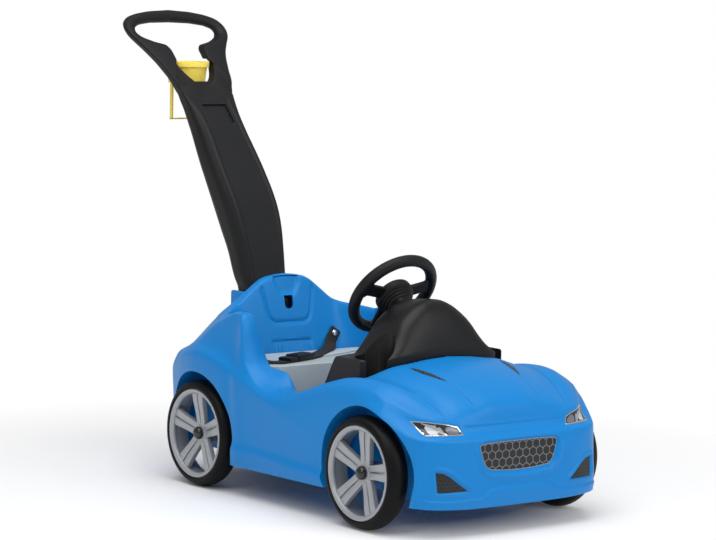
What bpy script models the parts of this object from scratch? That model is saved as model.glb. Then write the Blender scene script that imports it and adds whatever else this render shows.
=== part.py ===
"""Kids ride-on push car: body, wheels, seat, dash, steering wheel, belt and folding push handle.

Metres, +Z up. The car faces -Y, its left side is +X, and it stands on Z = 0.
Lengths along the car are measured from a datum line just ahead of the front axle, and car() moves
them into the part's frame.
"""
import math

import bmesh
import bpy
import numpy as np
from mathutils import Matrix, Vector

# Driving dimensions: wheels and axles
WHEEL_RADIUS = 0.1045
FRONT_AXLE_Y = 0.0156         # behind the datum line
WHEELBASE = 0.5234
WHEEL_FACE_X = 0.250          # outer face of the tyres, from the centre plane
TYRE_WIDTH = 0.056
RIM_RADIUS = 0.0871
RIM_DEPTH = 0.050
RIM_WALL = 0.0040
SPOKE_PAIRS = 5
HUB_RADIUS = 0.0175
HUB_CAP_RADIUS = 0.0125
AXLE_RADIUS = 0.0050
BUSH_WALL = 0.0030
ARCH_GAP = 0.0175             # tyre tread to wheel arch

# Driving dimensions: body
WALL = 0.0038                 # moulded wall of the body
NOSE_LINE = 0.125             # hood's front line, ahead of the front axle
NOSE_HALF_WIDTH = 0.228       # half width that the nose curve closes to
TAIL_START = 0.600            # where the tail starts to close in plan
TAIL_DEPTH = 0.115
TAIL_HALF_WIDTH = 0.222
COWL_LINE = 0.070             # front edge of the cabin opening
COWL_CORNER = 0.035
RIM_LINE = 0.586              # top edge of the seatback
RIM_CORNER = 0.050
SEATBACK_LEAN = 0.17
SEATBACK_FOOT_Y = 0.553       # seatback face at the height of the seat
SHELF_Z = 0.236               # ledges that carry the dash and the seat
FLOOR_Z = 0.085
FOOTWELL_FRONT = 0.152
FOOTWELL_REAR = 0.392
WELL_INNER_X = 0.166          # inner wall of a wheel well

# Driving dimensions: handle
PIVOT_Y = 0.655
PIVOT_Z = 0.200
FOOT_RADIUS = 0.0260
PIVOT_PIN_RADIUS = 0.0050
CHANNEL_HALF = 0.0500         # half width of the channel that the handle stands in
CHANNEL_FRONT = 0.6260
CHANNEL_FLOOR_Z = 0.1600
CHEEK_WALL = 0.0065
CHEEK_TOP_Z = 0.362

# Driving dimensions: dash, steering and seat
DASH_REAR = 0.187
DASH_WALL = 0.0034
LEDGE_Z = 0.297
DOME_HEIGHT = 0.100
CUP_X = 0.130
CUP_Y = 0.122
CUP_RADIUS = 0.0370
CUP_DEPTH = 0.052
CUP_WALL = 0.0030
WHEEL_RIM_RADIUS = 0.0840     # steering wheel, to the middle of its rim
WHEEL_RIM_TUBE = 0.0115
STEERING_Y = 0.238
STEERING_Z = 0.396
STEERING_TILT = math.radians(-53.8)
STEERING_HUB_RADIUS = 0.0375
STEERING_HUB_DEPTH = 0.024
HORN_RADIUS = 0.0220
HORN_TRAVEL = 0.0040
HORN_WELL = 0.0120
SHAFT_RADIUS = 0.0110
SHAFT_STUB_RADIUS = 0.0080
SEAT_FRONT = 0.3815
SEAT_TOP_Z = 0.250
SEAT_INSET = 0.0088           # from the cabin's lip to the seat's edge

# Driving dimensions: latch, cup holder and belt
SLOT_Z = 0.3465
SLOT_HALF_WIDTH = 0.0105
SLOT_HALF_HEIGHT = 0.0135
LATCH_TRAVEL = 0.0050
LATCH_END = 0.6505            # tip of the latch's tongue, inside the handle's window
HOLDER_RADIUS = 0.0425
HOLDER_TOP_Z = 0.8185
HOLDER_LIP = 0.0045
HOLDER_LIP_HEIGHT = 0.0115
HOLDER_BASE_Z = 0.6970
HOLDER_WALL = 0.0024
BELT_WIDTH = 0.0250
BELT_THICKNESS = 0.0020
ANCHOR_X = 0.1050
ANCHOR_Y = 0.5590
ANCHOR_Z = 0.2800
BUCKLE_START = (-0.040, 0.4520)
BUCKLE_END = (-0.116, 0.4250)

# Clearances
GAP = 0.0003                  # between faces that touch
FIT = 0.0006                  # between a dropped-in piece and its surround
RUNNING = 0.0001              # radial, round a shaft or a pin

# The frame's origin is at the middle of the car's length, on the floor
NOSE_REACH = 0.1500
HANDLE_SWEEP = 0.3995         # from the pivot back to the rear of the grip
HANDLE_REACH = PIVOT_Y + HANDLE_SWEEP
HOLDER_Y = PIVOT_Y + 0.7459 * HANDLE_SWEEP
AXLE_Y = (NOSE_REACH - HANDLE_REACH) / 2

ARCH_RADIUS = WHEEL_RADIUS + ARCH_GAP
PARTS = "kids_ride_on_car"
CUTTERS = "cutters"


def car(x, y, z):
    """Return the point at y behind the front axle as a vector in the part's frame."""
    return Vector((x, y + AXLE_Y, z))


def curve_through(knots, at):
    """Read a smooth curve through (station, value) knots that never overshoots them."""
    xs = np.array([k[0] for k in knots])
    ys = np.array([k[1] for k in knots])
    if at <= xs[0]:
        return float(ys[0])
    if at >= xs[-1]:
        return float(ys[-1])
    step = np.diff(xs)
    slope = np.diff(ys) / step
    tangent = np.zeros(len(xs))
    for i in range(1, len(xs) - 1):
        if slope[i - 1] * slope[i] > 0:
            a = 2 * step[i] + step[i - 1]
            b = step[i] + 2 * step[i - 1]
            tangent[i] = (a + b) / (a / slope[i - 1] + b / slope[i])
    tangent[0] = slope[0]
    tangent[-1] = slope[-1]
    i = int(np.searchsorted(xs, at) - 1)
    h = step[i]
    t = (at - xs[i]) / h
    return float(ys[i] * (1 + 2 * t) * (1 - t) ** 2 + h * tangent[i] * t * (1 - t) ** 2
                 + ys[i + 1] * t * t * (3 - 2 * t) + h * tangent[i + 1] * t * t * (t - 1))


# Scene, materials and small tools

def clear_scene():
    """Remove the scene's objects and make the two collections."""
    for item in list(bpy.data.objects):
        bpy.data.objects.remove(item, do_unlink=True)
    for name in (PARTS, CUTTERS):
        group = bpy.data.collections.new(name)
        bpy.context.scene.collection.children.link(group)


def material(name, colour, roughness, metallic=0.0):
    """Return a Principled material with this colour, roughness and metallic value."""
    made = bpy.data.materials.new(name)
    made.use_nodes = True
    shader = made.node_tree.nodes["Principled BSDF"]
    shader.inputs["Base Color"].default_value = (*colour, 1.0)
    shader.inputs["Roughness"].default_value = roughness
    shader.inputs["Metallic"].default_value = metallic
    return made


BLUE = (0.010, 0.200, 0.680)
BLACK = (0.012, 0.012, 0.013)
CHARCOAL = (0.030, 0.030, 0.032)
SILVER = (0.360, 0.370, 0.390)
PALE_GREY = (0.560, 0.600, 0.620)
STEEL = (0.550, 0.550, 0.560)
YELLOW = (0.900, 0.640, 0.050)


def add(name, bm, look=None, group=PARTS, smooth=40.0):
    """Link a bmesh as a named object, with its own material when it has a look."""
    mesh = bpy.data.meshes.new(name)
    bm.to_mesh(mesh)
    bm.free()
    item = bpy.data.objects.new(name, mesh)
    bpy.data.collections[group].objects.link(item)
    mesh.shade_smooth()
    mesh.set_sharp_from_angle(angle=math.radians(smooth))
    if look:
        mesh.materials.append(material(name, *look))
    if group == CUTTERS:
        item.hide_render = True
        item.display_type = "WIRE"
    return item


def guide(name, bm):
    """Link a bmesh as a cutter or guide that the part leaves out."""
    return add(name, bm, group=CUTTERS)


def boolean(item, other, operation="DIFFERENCE"):
    """Add a live Boolean of this item with another object."""
    step = item.modifiers.new(operation.title() + " " + other.name, "BOOLEAN")
    step.operation = operation
    step.object = other
    step.solver = "EXACT"


def cylinder(radius, start, end, segments=32):
    """Return a closed cylinder between two points."""
    bm = bmesh.new()
    axis = end - start
    bmesh.ops.create_cone(bm, cap_ends=True, segments=segments, radius1=radius, radius2=radius,
                          depth=axis.length)
    turn = axis.to_track_quat("Z", "Y").to_matrix().to_4x4()
    bmesh.ops.transform(bm, matrix=Matrix.Translation((start + end) / 2) @ turn, verts=bm.verts)
    return bm


def block(low, high, bevel=0.0, segments=2):
    """Return a box between two corners, with its edges rounded when bevel is set."""
    bm = bmesh.new()
    size = high - low
    bmesh.ops.create_cube(bm, size=1.0)
    bmesh.ops.transform(bm, matrix=Matrix.Translation((low + high) / 2) @ Matrix.Diagonal((*size, 1)),
                        verts=bm.verts)
    if bevel:
        round_edges(bm, bm.edges[:], bevel, segments)
    return bm


def round_edges(bm, edges, width, segments=2):
    """Bevel these edges of a bmesh."""
    bmesh.ops.bevel(bm, geom=edges, offset=width, offset_type="OFFSET", affect="EDGES",
                    segments=segments, profile=0.5, clamp_overlap=True, material=-1)


def merge(*pieces):
    """Return one bmesh that holds all these bmeshes."""
    whole = bmesh.new()
    for piece in pieces:
        mesh = bpy.data.meshes.new("merge")
        piece.to_mesh(mesh)
        piece.free()
        whole.from_mesh(mesh)
        bpy.data.meshes.remove(mesh)
    return whole


def prism(outline, low, high, axis="Z"):
    """Return the closed outline, a list of 2D points, extruded along an axis from low to high.

    The outline lies in XY for axis Z, in XZ for axis Y and in YZ for axis X.
    """
    bm = bmesh.new()
    place = {"Z": lambda a, b, c: (a, b, c), "Y": lambda a, b, c: (a, c, b),
             "X": lambda a, b, c: (c, a, b)}[axis]
    rings = [[bm.verts.new(place(a, b, level)) for a, b in outline] for level in (low, high)]
    bm.faces.new(rings[0])
    bm.faces.new(rings[1])
    for i in range(len(outline)):
        j = (i + 1) % len(outline)
        bm.faces.new((rings[0][i], rings[0][j], rings[1][j], rings[1][i]))
    bmesh.ops.recalc_face_normals(bm, faces=bm.faces)
    return bm


def turned(name, profile, look, steps=32, group=PARTS, smooth=35.0):
    """Return a ring or disc turned about its local Z from a closed (radius, height) profile."""
    bm = bmesh.new()
    points = [bm.verts.new((radius, 0, height)) for radius, height in profile]
    for i in range(len(points)):
        if profile[i - 1][0] > 0 or profile[i][0] > 0:
            bm.edges.new((points[i - 1], points[i]))
    bmesh.ops.spin(bm, geom=bm.verts[:] + bm.edges[:], cent=(0, 0, 0), axis=(0, 0, 1),
                   angle=2 * math.pi, steps=steps, use_merge=True)
    bmesh.ops.remove_doubles(bm, verts=bm.verts, dist=0.00002)
    bmesh.ops.recalc_face_normals(bm, faces=bm.faces)
    return add(name, bm, look, group, smooth)


def mirrored(points):
    """Close a half outline from the centre plane out and back with its mirror image."""
    other = [(-x, y) for x, y in reversed(points) if x > 0.00001]
    return points + other


# Body: a skin of rows along the car and columns across its left half

# Columns of the top skin: x of each feature line against y, from the centre plane outwards
HOOD_RIDGE_X = ((-0.12, 0.045), (0.60, 0.045))
HOOD_CREASE_X = ((-0.12, 0.078), (0.05, 0.088), (0.60, 0.085))
HOOD_SIDE_X = ((-0.12, 0.112), (0.05, 0.126), (0.60, 0.120))
LIP_X = ((-0.12, 0.145), (-0.06, 0.147), (0.02, 0.168), (0.08, 0.176), (0.20, 0.181), (0.30, 0.184),
         (0.385, 0.184), (0.412, 0.203), (0.46, 0.203), (0.53, 0.192), (0.62, 0.185), (0.70, 0.160))
CREST_X = ((-0.09, 0.211), (-0.06, 0.221), (0.00, 0.226), (0.10, 0.230), (0.20, 0.234), (0.30, 0.236),
           (0.37, 0.236), (0.40, 0.234), (0.43, 0.226), (0.52, 0.222), (0.60, 0.216), (0.65, 0.207))

# Heights of the same lines against y
CENTRE_Z = ((-0.125, 0.203), (-0.119, 0.227), (-0.10, 0.246), (-0.07, 0.262), (-0.037, 0.275),
            (0.0, 0.285), (0.056, 0.294), (0.10, 0.298), (0.57, 0.398), (0.586, 0.400),
            (0.597, 0.403), (0.607, 0.398), (0.616, 0.372), (0.622, 0.336), (0.640, 0.322),
            (0.68, 0.303), (0.715, 0.272))
RIDGE_Z = ((-0.125, 0.203), (-0.119, 0.227), (-0.10, 0.245), (-0.07, 0.261), (-0.037, 0.273),
           (0.0, 0.283), (0.056, 0.292), (0.10, 0.296), (0.57, 0.394), (0.586, 0.396),
           (0.597, 0.398), (0.607, 0.393), (0.616, 0.367), (0.622, 0.333), (0.640, 0.321),
           (0.68, 0.302), (0.714, 0.270))
CREASE_Z = ((-0.125, 0.200), (-0.119, 0.220), (-0.10, 0.238), (-0.07, 0.255), (-0.037, 0.268),
            (0.0, 0.278), (0.045, 0.286), (0.10, 0.291), (0.57, 0.368), (0.586, 0.371),
            (0.597, 0.373), (0.608, 0.368), (0.616, 0.350), (0.624, 0.329), (0.645, 0.315),
            (0.68, 0.297), (0.712, 0.268))
SIDE_Z = ((-0.125, 0.198), (-0.119, 0.212), (-0.10, 0.232), (-0.07, 0.249), (-0.037, 0.262),
          (0.0, 0.273), (0.045, 0.281), (0.10, 0.286), (0.57, 0.343), (0.586, 0.346),
          (0.60, 0.347), (0.61, 0.343), (0.625, 0.327), (0.65, 0.309), (0.707, 0.264))
LIP_Z = ((-0.12, 0.197), (-0.11, 0.212), (-0.09, 0.227), (-0.06, 0.243), (-0.02, 0.256), (0.02, 0.264),
         (0.06, 0.265), (0.10, 0.261), (0.16, 0.247), (0.22, 0.229), (0.265, 0.214), (0.293, 0.213),
         (0.304, 0.228), (0.318, 0.243), (0.335, 0.249), (0.375, 0.250), (0.386, 0.259), (0.396, 0.290),
         (0.404, 0.330), (0.413, 0.348), (0.43, 0.351), (0.50, 0.340), (0.54, 0.327), (0.60, 0.294),
         (0.68, 0.252))
FENDER_Z = ((-0.11, 0.197), (-0.09, 0.219), (-0.06, 0.243), (-0.04, 0.254), (0.00, 0.267), (0.04, 0.270),
            (0.09, 0.267), (0.16, 0.250), (0.22, 0.229), (0.26, 0.217), (0.30, 0.218), (0.335, 0.231),
            (0.37, 0.250), (0.386, 0.266), (0.396, 0.298), (0.404, 0.336), (0.413, 0.351), (0.43, 0.354),
            (0.50, 0.333), (0.54, 0.317), (0.60, 0.282), (0.66, 0.250))
CREST_Z = ((-0.10, 0.196), (-0.08, 0.212), (-0.06, 0.229), (-0.04, 0.239), (-0.02, 0.247), (0.00, 0.253),
           (0.04, 0.258), (0.09, 0.256), (0.16, 0.241), (0.22, 0.222), (0.26, 0.211), (0.30, 0.211),
           (0.34, 0.220), (0.37, 0.241), (0.386, 0.260), (0.395, 0.288), (0.403, 0.324), (0.412, 0.344),
           (0.43, 0.349), (0.50, 0.326), (0.534, 0.307), (0.566, 0.288), (0.612, 0.268), (0.66, 0.240))
COLUMN_X = (((0.0, 0.0), (0.6, 0.0)), HOOD_RIDGE_X, HOOD_CREASE_X, HOOD_SIDE_X, LIP_X, None, CREST_X)
COLUMN_Z = (CENTRE_Z, RIDGE_Z, CREASE_Z, SIDE_Z, LIP_Z, FENDER_Z, CREST_Z)
LIP_COLUMN = 4

# Rows of the top skin: how far each lies from the line before it to the line behind it
NOSE_ROWS = (0.0, 0.045, 0.12, 0.24, 0.40, 0.58, 0.79)
HOOD_ROWS = (0.0, 0.45)
HOOD_ROW_START = 0.010
CABIN_ROWS = (0.138, FOOTWELL_FRONT, 0.178, 0.215, 0.250, 0.280, 0.297, 0.308, 0.322, 0.345, 0.372,
              0.386, FOOTWELL_REAR, 0.398, 0.404, 0.412, 0.425, 0.455, 0.495, 0.520)
TAIL_ROWS = (0.0, 0.09, 0.17, 0.25, 0.32, 0.48, 0.70, 1.0)

# Side wall below the crest: height and outward offset of each feature line against y
WAIST_Z = ((-0.125, 0.187), (-0.09, 0.192), (-0.06, 0.212), (-0.02, 0.234), (0.04, 0.246), (0.10, 0.240),
           (0.16, 0.224), (0.22, 0.206), (0.26, 0.200), (0.32, 0.207), (0.36, 0.224), (0.39, 0.243),
           (0.42, 0.259), (0.47, 0.276), (0.54, 0.281), (0.60, 0.262), (0.66, 0.236), (0.715, 0.258))
WAIST_OUT = ((-0.125, 0.007), (-0.06, 0.010), (0.04, 0.008), (0.20, 0.006), (0.36, 0.006), (0.42, 0.009),
             (0.50, 0.012), (0.60, 0.012), (0.66, 0.008), (0.715, 0.005))
RIDGE_LINE_Z = ((-0.125, 0.174), (-0.09, 0.178), (-0.05, 0.196), (0.0, 0.224), (0.05, 0.219), (0.10, 0.193),
                (0.15, 0.168), (0.19, 0.160), (0.25, 0.178), (0.312, 0.198), (0.36, 0.215),
                (0.436, 0.241), (0.52, 0.262), (0.60, 0.246), (0.66, 0.215), (0.715, 0.235))
RIDGE_OUT = ((-0.125, 0.018), (-0.118, 0.022), (-0.095, 0.030), (-0.070, 0.028), (-0.02, 0.020),
             (0.04, 0.014), (0.20, 0.010), (0.30, 0.009), (0.37, 0.011), (0.41, 0.018), (0.45, 0.026),
             (0.54, 0.029), (0.60, 0.023), (0.66, 0.014), (0.715, 0.010))
DOOR_Z = ((-0.125, 0.143), (-0.05, 0.160), (0.0, 0.170), (0.10, 0.145), (0.19, 0.130), (0.30, 0.150),
          (0.45, 0.170), (0.60, 0.170), (0.715, 0.180))
DOOR_OUT = ((-0.125, 0.003), (-0.06, 0.0), (0.10, -0.003), (0.60, -0.002), (0.715, -0.002))
GROOVE_Z = ((-0.125, 0.108), (-0.05, 0.105), (0.12, 0.094), (0.38, 0.107), (0.60, 0.110), (0.715, 0.115))
GROOVE_OUT = ((-0.125, 0.0045), (-0.05, 0.001), (0.10, -0.0055), (0.41, -0.0055), (0.60, -0.003),
              (0.715, -0.006))
ROCKER_Z = ((-0.125, 0.078), (-0.05, 0.082), (0.12, 0.079), (0.38, 0.090), (0.60, 0.085), (0.715, 0.085))
ROCKER_OUT = ((-0.125, 0.0070), (-0.05, 0.002), (0.10, 0.001), (0.60, -0.004), (0.715, -0.010))
HEM_Z = ((-0.125, 0.052), (-0.09, 0.056), (0.10, 0.060), (0.39, 0.058), (0.60, 0.060), (0.715, 0.064))
HEM_OUT = ((-0.125, 0.003), (-0.05, -0.003), (0.10, -0.004), (0.60, -0.010), (0.715, -0.016))


def nose_line(x):
    """Return y of the hood's front line at x: a superellipse in plan."""
    return -NOSE_LINE * math.sqrt(max(0.0, 1 - (x / NOSE_HALF_WIDTH) ** 4))


def tail_line(x):
    """Return y of the deck's rear line at x: a superellipse in plan."""
    return TAIL_START + TAIL_DEPTH * math.sqrt(max(0.0, 1 - (x / TAIL_HALF_WIDTH) ** 4))


def cowl_line(x):
    """Return y of the cabin opening's front edge at x, with rounded corners."""
    return COWL_LINE + COWL_CORNER * min(1.0, x / 0.176) ** 6


def rim_line(x):
    """Return y of the seatback's top edge at x, with rounded corners."""
    return RIM_LINE - RIM_CORNER * min(1.0, x / 0.192) ** 6


def column_x(column, y):
    """Return x of a column of the top skin at y."""
    if COLUMN_X[column] is None:
        return (column_x(column - 1, y) + column_x(column + 1, y)) / 2
    return curve_through(COLUMN_X[column], y)


def skin_row(line_a, line_b, share):
    """Return the points of one row, a share of the way from one plan line to another."""
    row = []
    for column in range(len(COLUMN_X)):
        y = line_a(0.1) if line_a is line_b else 0.0
        x = 0.1
        for _ in range(12):
            y = line_a(x) * (1 - share) + line_b(x) * share
            x = column_x(column, y)
        row.append(Vector((x, y, curve_through(COLUMN_Z[column], y))))
    return row


def skin_rows():
    """Return all rows of the top skin, and the indexes of the cabin's first and last row."""
    rows = []
    for share in NOSE_ROWS:
        rows.append(skin_row(nose_line, lambda x: HOOD_ROW_START, share))
    for share in HOOD_ROWS:
        rows.append(skin_row(lambda x: HOOD_ROW_START, cowl_line, share))
    first = len(rows)
    rows.append(skin_row(cowl_line, cowl_line, 0.0))
    for y in CABIN_ROWS:
        rows.append(skin_row(lambda x, y=y: y, lambda x, y=y: y, 0.0))
    last = len(rows)
    for share in TAIL_ROWS:
        rows.append(skin_row(rim_line, tail_line, share))
    return rows, first, last


def plan_normals(points):
    """Return the outward plan normal at each point of the half outline, nose to tail."""
    normals = []
    for i, point in enumerate(points):
        if i in (0, len(points) - 1):
            normals.append(Vector((0, -1 if i == 0 else 1, 0)))
            continue
        along = points[i + 1] - points[i - 1]
        normals.append(Vector((along.y, -along.x, 0)).normalized())
    return normals


def side_rings(edge):
    """Return the rings of the side wall below the crest, from the waist to the hem."""
    normals = plan_normals(edge)
    lines = ((WAIST_Z, WAIST_OUT, False), (RIDGE_LINE_Z, RIDGE_OUT, False), (DOOR_Z, DOOR_OUT, True),
             (GROOVE_Z, GROOVE_OUT, True), (ROCKER_Z, ROCKER_OUT, True), (HEM_Z, HEM_OUT, True))
    rings = []
    for heights, offsets, from_ridge in lines:
        ring = []
        for point, normal in zip(edge, normals):
            out = curve_through(offsets, point.y)
            if from_ridge:
                out += curve_through(RIDGE_OUT, point.y)
            place = point + normal * out
            ring.append(Vector((max(place.x, 0.0), place.y, curve_through(heights, point.y))))
        rings.append(ring)
    return rings


def floor_height(y):
    """Return the height of the tub's floor at y: a ledge, the foot well, and the seat's shelf."""
    return FLOOR_Z if FOOTWELL_FRONT <= y < FOOTWELL_REAR - 0.001 else SHELF_Z


def tub_rings(edge):
    """Return the rings that run from the cabin's lip down to its floor."""
    normals = plan_normals(edge)
    rings = []
    for drop, inset in ((0.0045, 0.0030), (0.0120, 0.0048)):
        rings.append([point - normal * inset - Vector((0, 0, drop)) for point, normal in zip(edge, normals)])
    bottom = []
    for point, normal in zip(edge, normals):
        low = floor_height(point.y)
        place = point - normal * 0.0055
        if point.y > 0.52 and normal.y > 0.5:
            place.y = min(place.y, SEATBACK_FOOT_Y)
        bottom.append(Vector((max(place.x, 0.0), place.y, low)))
    rings.append(bottom)
    for ring in rings:
        ring[0].x = 0.0
        ring[-1].x = 0.0
    return rings


def net(bm, rings, flip=False):
    """Bridge rows of vertices with quads."""
    for lower, upper in zip(rings[:-1], rings[1:]):
        for i in range(len(lower) - 1):
            corners = (lower[i], lower[i + 1], upper[i + 1], upper[i])
            if len(set(corners)) == 4:
                bm.faces.new(corners[::-1] if flip else corners)


def place_row(bm, row):
    """Add a row of points as vertices, in the part's frame."""
    return [bm.verts.new(car(point.x, point.y, point.z)) for point in row]


def body_outline_edges(rows):
    """Return the crest edge of the half skin as a list of grid positions, nose to tail."""
    last = len(rows[0]) - 1
    return ([(0, column) for column in range(last + 1)] + [(row, last) for row in range(1, len(rows))]
            + [(len(rows) - 1, column) for column in range(last - 1, -1, -1)])


def body_skin():
    """Return the car's outer skin and cabin tub as one open surface, the left half only."""
    rows, first, last = skin_rows()
    bm = bmesh.new()
    grid = [place_row(bm, row) for row in rows]
    columns = len(rows[0])
    for i in range(len(rows) - 1):
        for j in range(columns - 1):
            if first <= i < last and j < LIP_COLUMN:
                continue
            bm.faces.new((grid[i][j], grid[i][j + 1], grid[i + 1][j + 1], grid[i + 1][j]))
    spots = body_outline_edges(rows)
    rings = [[grid[i][j] for i, j in spots]]
    rings += [place_row(bm, ring) for ring in side_rings([rows[i][j] for i, j in spots])]
    net(bm, rings, flip=True)

    mouth = [(first, j) for j in range(LIP_COLUMN + 1)] + [(i, LIP_COLUMN) for i in range(first + 1, last)]
    mouth += [(last, j) for j in range(LIP_COLUMN, -1, -1)]
    wall = [[grid[i][j] for i, j in mouth]]
    wall += [place_row(bm, ring) for ring in tub_rings([rows[i][j] for i, j in mouth])]
    net(bm, wall)
    tub_floor(bm, wall[-1])
    bmesh.ops.recalc_face_normals(bm, faces=bm.faces)
    hood = min(bm.faces, key=lambda f: (f.calc_center_median() - car(0.02, 0.03, 0.29)).length)
    if hood.normal.z < 0:
        bmesh.ops.reverse_faces(bm, faces=bm.faces)
    return bm


def tub_floor(bm, ring):
    """Close the tub with its floor: strips across the cabin, left half."""
    across = LIP_COLUMN + 1
    side = ring[across - 1:len(ring) - across + 1]
    middle = [bm.verts.new((0.0, vert.co.y, vert.co.z)) for vert in side[1:-1]]
    bm.faces.new(ring[:across] + [side[1], middle[0]])
    for i in range(len(middle) - 1):
        bm.faces.new((side[i + 1], side[i + 2], middle[i + 1], middle[i]))
    bm.faces.new([middle[-1], side[-2]] + ring[len(ring) - across:])


def body_form():
    """Return the car's outer form as one closed solid, without the cabin."""
    rows, _, _ = skin_rows()
    bm = bmesh.new()
    grid = [place_row(bm, row) for row in rows]
    net(bm, grid)
    spots = body_outline_edges(rows)
    rings = [[grid[i][j] for i, j in spots]]
    rings += [place_row(bm, ring) for ring in side_rings([rows[i][j] for i, j in spots])]
    net(bm, rings, flip=True)
    copy = bmesh.ops.duplicate(bm, geom=bm.verts[:] + bm.edges[:] + bm.faces[:])["geom"]
    twins = [item for item in copy if isinstance(item, bmesh.types.BMVert)]
    for vert in twins:
        vert.co.x = -vert.co.x
    bmesh.ops.remove_doubles(bm, verts=bm.verts, dist=0.0001)
    bmesh.ops.holes_fill(bm, edges=bm.edges, sides=0)
    bmesh.ops.triangulate(bm, faces=bm.faces)
    bmesh.ops.recalc_face_normals(bm, faces=bm.faces)
    return bm


def wheel_places():
    """Return the name, axle y and side of each wheel."""
    ends = (("front", FRONT_AXLE_Y), ("rear", FRONT_AXLE_Y + WHEELBASE))
    return [(f"{end}_{side}", y, sign) for end, y in ends for side, sign in (("left", 1), ("right", -1))]


def build_body():
    """Build the moulded body: skin and tub, wheel wells, handle channel and cut-outs."""
    shell = add("body_shell", body_skin(), (BLUE, 0.32))
    twin = shell.modifiers.new("Mirror", "MIRROR")
    twin.merge_threshold = 0.0001
    wall = shell.modifiers.new("Wall", "SOLIDIFY")
    wall.thickness = WALL
    wall.offset = -1.0
    wall.use_even_offset = True
    wall.thickness_clamp = 1.0
    form = guide("body_form", body_form())
    inset = form.modifiers.new("Into the wall", "DISPLACE")
    inset.strength = -WALL / 2
    inset.mid_level = 0.0

    wells = []
    arches = []
    for _, y, sign in wheel_places():
        inner = WELL_INNER_X * sign
        wells.append(cylinder(ARCH_RADIUS + WALL, car(inner - WALL * sign, y, WHEEL_RADIUS),
                              car(0.30 * sign, y, WHEEL_RADIUS), 40))
        arches.append(cylinder(ARCH_RADIUS, car(inner, y, WHEEL_RADIUS),
                               car(0.31 * sign, y, WHEEL_RADIUS), 40))
    liner = guide("well_liners", merge(*wells))
    boolean(liner, form, "INTERSECT")
    channel = guide("channel_walls", block(
        car(-CHANNEL_HALF - WALL, CHANNEL_FRONT - WALL, CHANNEL_FLOOR_Z - WALL),
        car(CHANNEL_HALF + WALL, 0.78, 0.36)))
    boolean(channel, form, "INTERSECT")
    cheeks = guide("cheeks", block(
        car(-CHANNEL_HALF - CHEEK_WALL, CHANNEL_FRONT + 0.006, 0.26),
        car(CHANNEL_HALF + CHEEK_WALL, PIVOT_Y + 0.044, CHEEK_TOP_Z), 0.004))
    boolean(shell, liner, "UNION")
    boolean(shell, guide("wheel_arches", merge(*arches)))
    for piece in (channel, cheeks):
        boolean(shell, piece, "UNION")
    boolean(shell, guide("channel_space", block(car(-CHANNEL_HALF, CHANNEL_FRONT, CHANNEL_FLOOR_Z),
                                                car(CHANNEL_HALF, 0.80, 0.42))))
    axle_bores = [cylinder(AXLE_RADIUS + RUNNING, car(-0.2, y, WHEEL_RADIUS), car(0.2, y, WHEEL_RADIUS), 20)
                  for y in (FRONT_AXLE_Y, FRONT_AXLE_Y + WHEELBASE)]
    pin_bore = cylinder(PIVOT_PIN_RADIUS + RUNNING, car(-0.1, PIVOT_Y, PIVOT_Z),
                        car(0.1, PIVOT_Y, PIVOT_Z), 20)
    boolean(shell, guide("axle_bores", merge(*axle_bores, pin_bore)))
    return shell


def surface_panel(name, outline, look, axis, low, high, front, back):
    """Build a thin panel that follows the body: an outline cut between two depths under its skin."""
    panel = add(name, prism(outline, low, high, axis), look)
    boolean(panel, front, "INTERSECT")
    boolean(panel, back)
    return panel


def form_at(depth):
    """Return a guide solid: the body's outer form, drawn in by a depth."""
    form = guide(f"form_{depth * 10000:.0f}", body_form())
    inset = form.modifiers.new("Inset", "DISPLACE")
    inset.strength = -depth
    inset.mid_level = 0.0
    return form


GRILLE = ((0.0, 0.168), (0.045, 0.168), (0.084, 0.1665), (0.0915, 0.163), (0.0905, 0.155), (0.083, 0.132),
          (0.077, 0.1235), (0.068, 0.1203), (0.035, 0.1190), (0.0, 0.1185))
HEADLIGHT = ((0.1216, 0.1840), (0.1290, 0.1985), (0.1480, 0.2035), (0.1800, 0.2080), (0.2040, 0.2090),
             (0.1990, 0.1995), (0.1930, 0.1845))
FOG = ((0.1820, 0.0850), (0.1840, 0.1210), (0.1700, 0.1190), (0.1580, 0.1120), (0.1400, 0.0980),
       (0.1230, 0.0855))
VENT = ((0.0870, -0.0380), (0.0960, -0.0240), (0.1080, 0.0060), (0.1110, 0.0300), (0.1080, 0.0460),
        (0.1010, 0.0300), (0.0930, 0.0000))
PANEL_DEPTH = 0.0004
PANEL_BACK = 0.0016
RECESS_DEPTH = 0.0019
HEX_PITCH = 0.0160


def flipped(outline, sign):
    """Return an outline on the left side (1) or mirrored to the right side (-1)."""
    return [(x * sign, y) for x, y in outline]


def swollen(outline, by):
    """Return the outline grown outwards by a distance."""
    count = len(outline)
    area = sum(outline[i][0] * outline[(i + 1) % count][1] - outline[(i + 1) % count][0] * outline[i][1]
               for i in range(count))
    way = 1 if area > 0 else -1
    result = []
    for i in range(count):
        here = Vector(outline[i])
        a = (here - Vector(outline[i - 1])).normalized()
        b = (Vector(outline[(i + 1) % count]) - here).normalized()
        normal = (Vector((a.y, -a.x)) + Vector((b.y, -b.x))) * way
        spread = max(0.5, normal.length_squared / 2)
        result.append(tuple(here + normal * by / spread))
    return result


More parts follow.
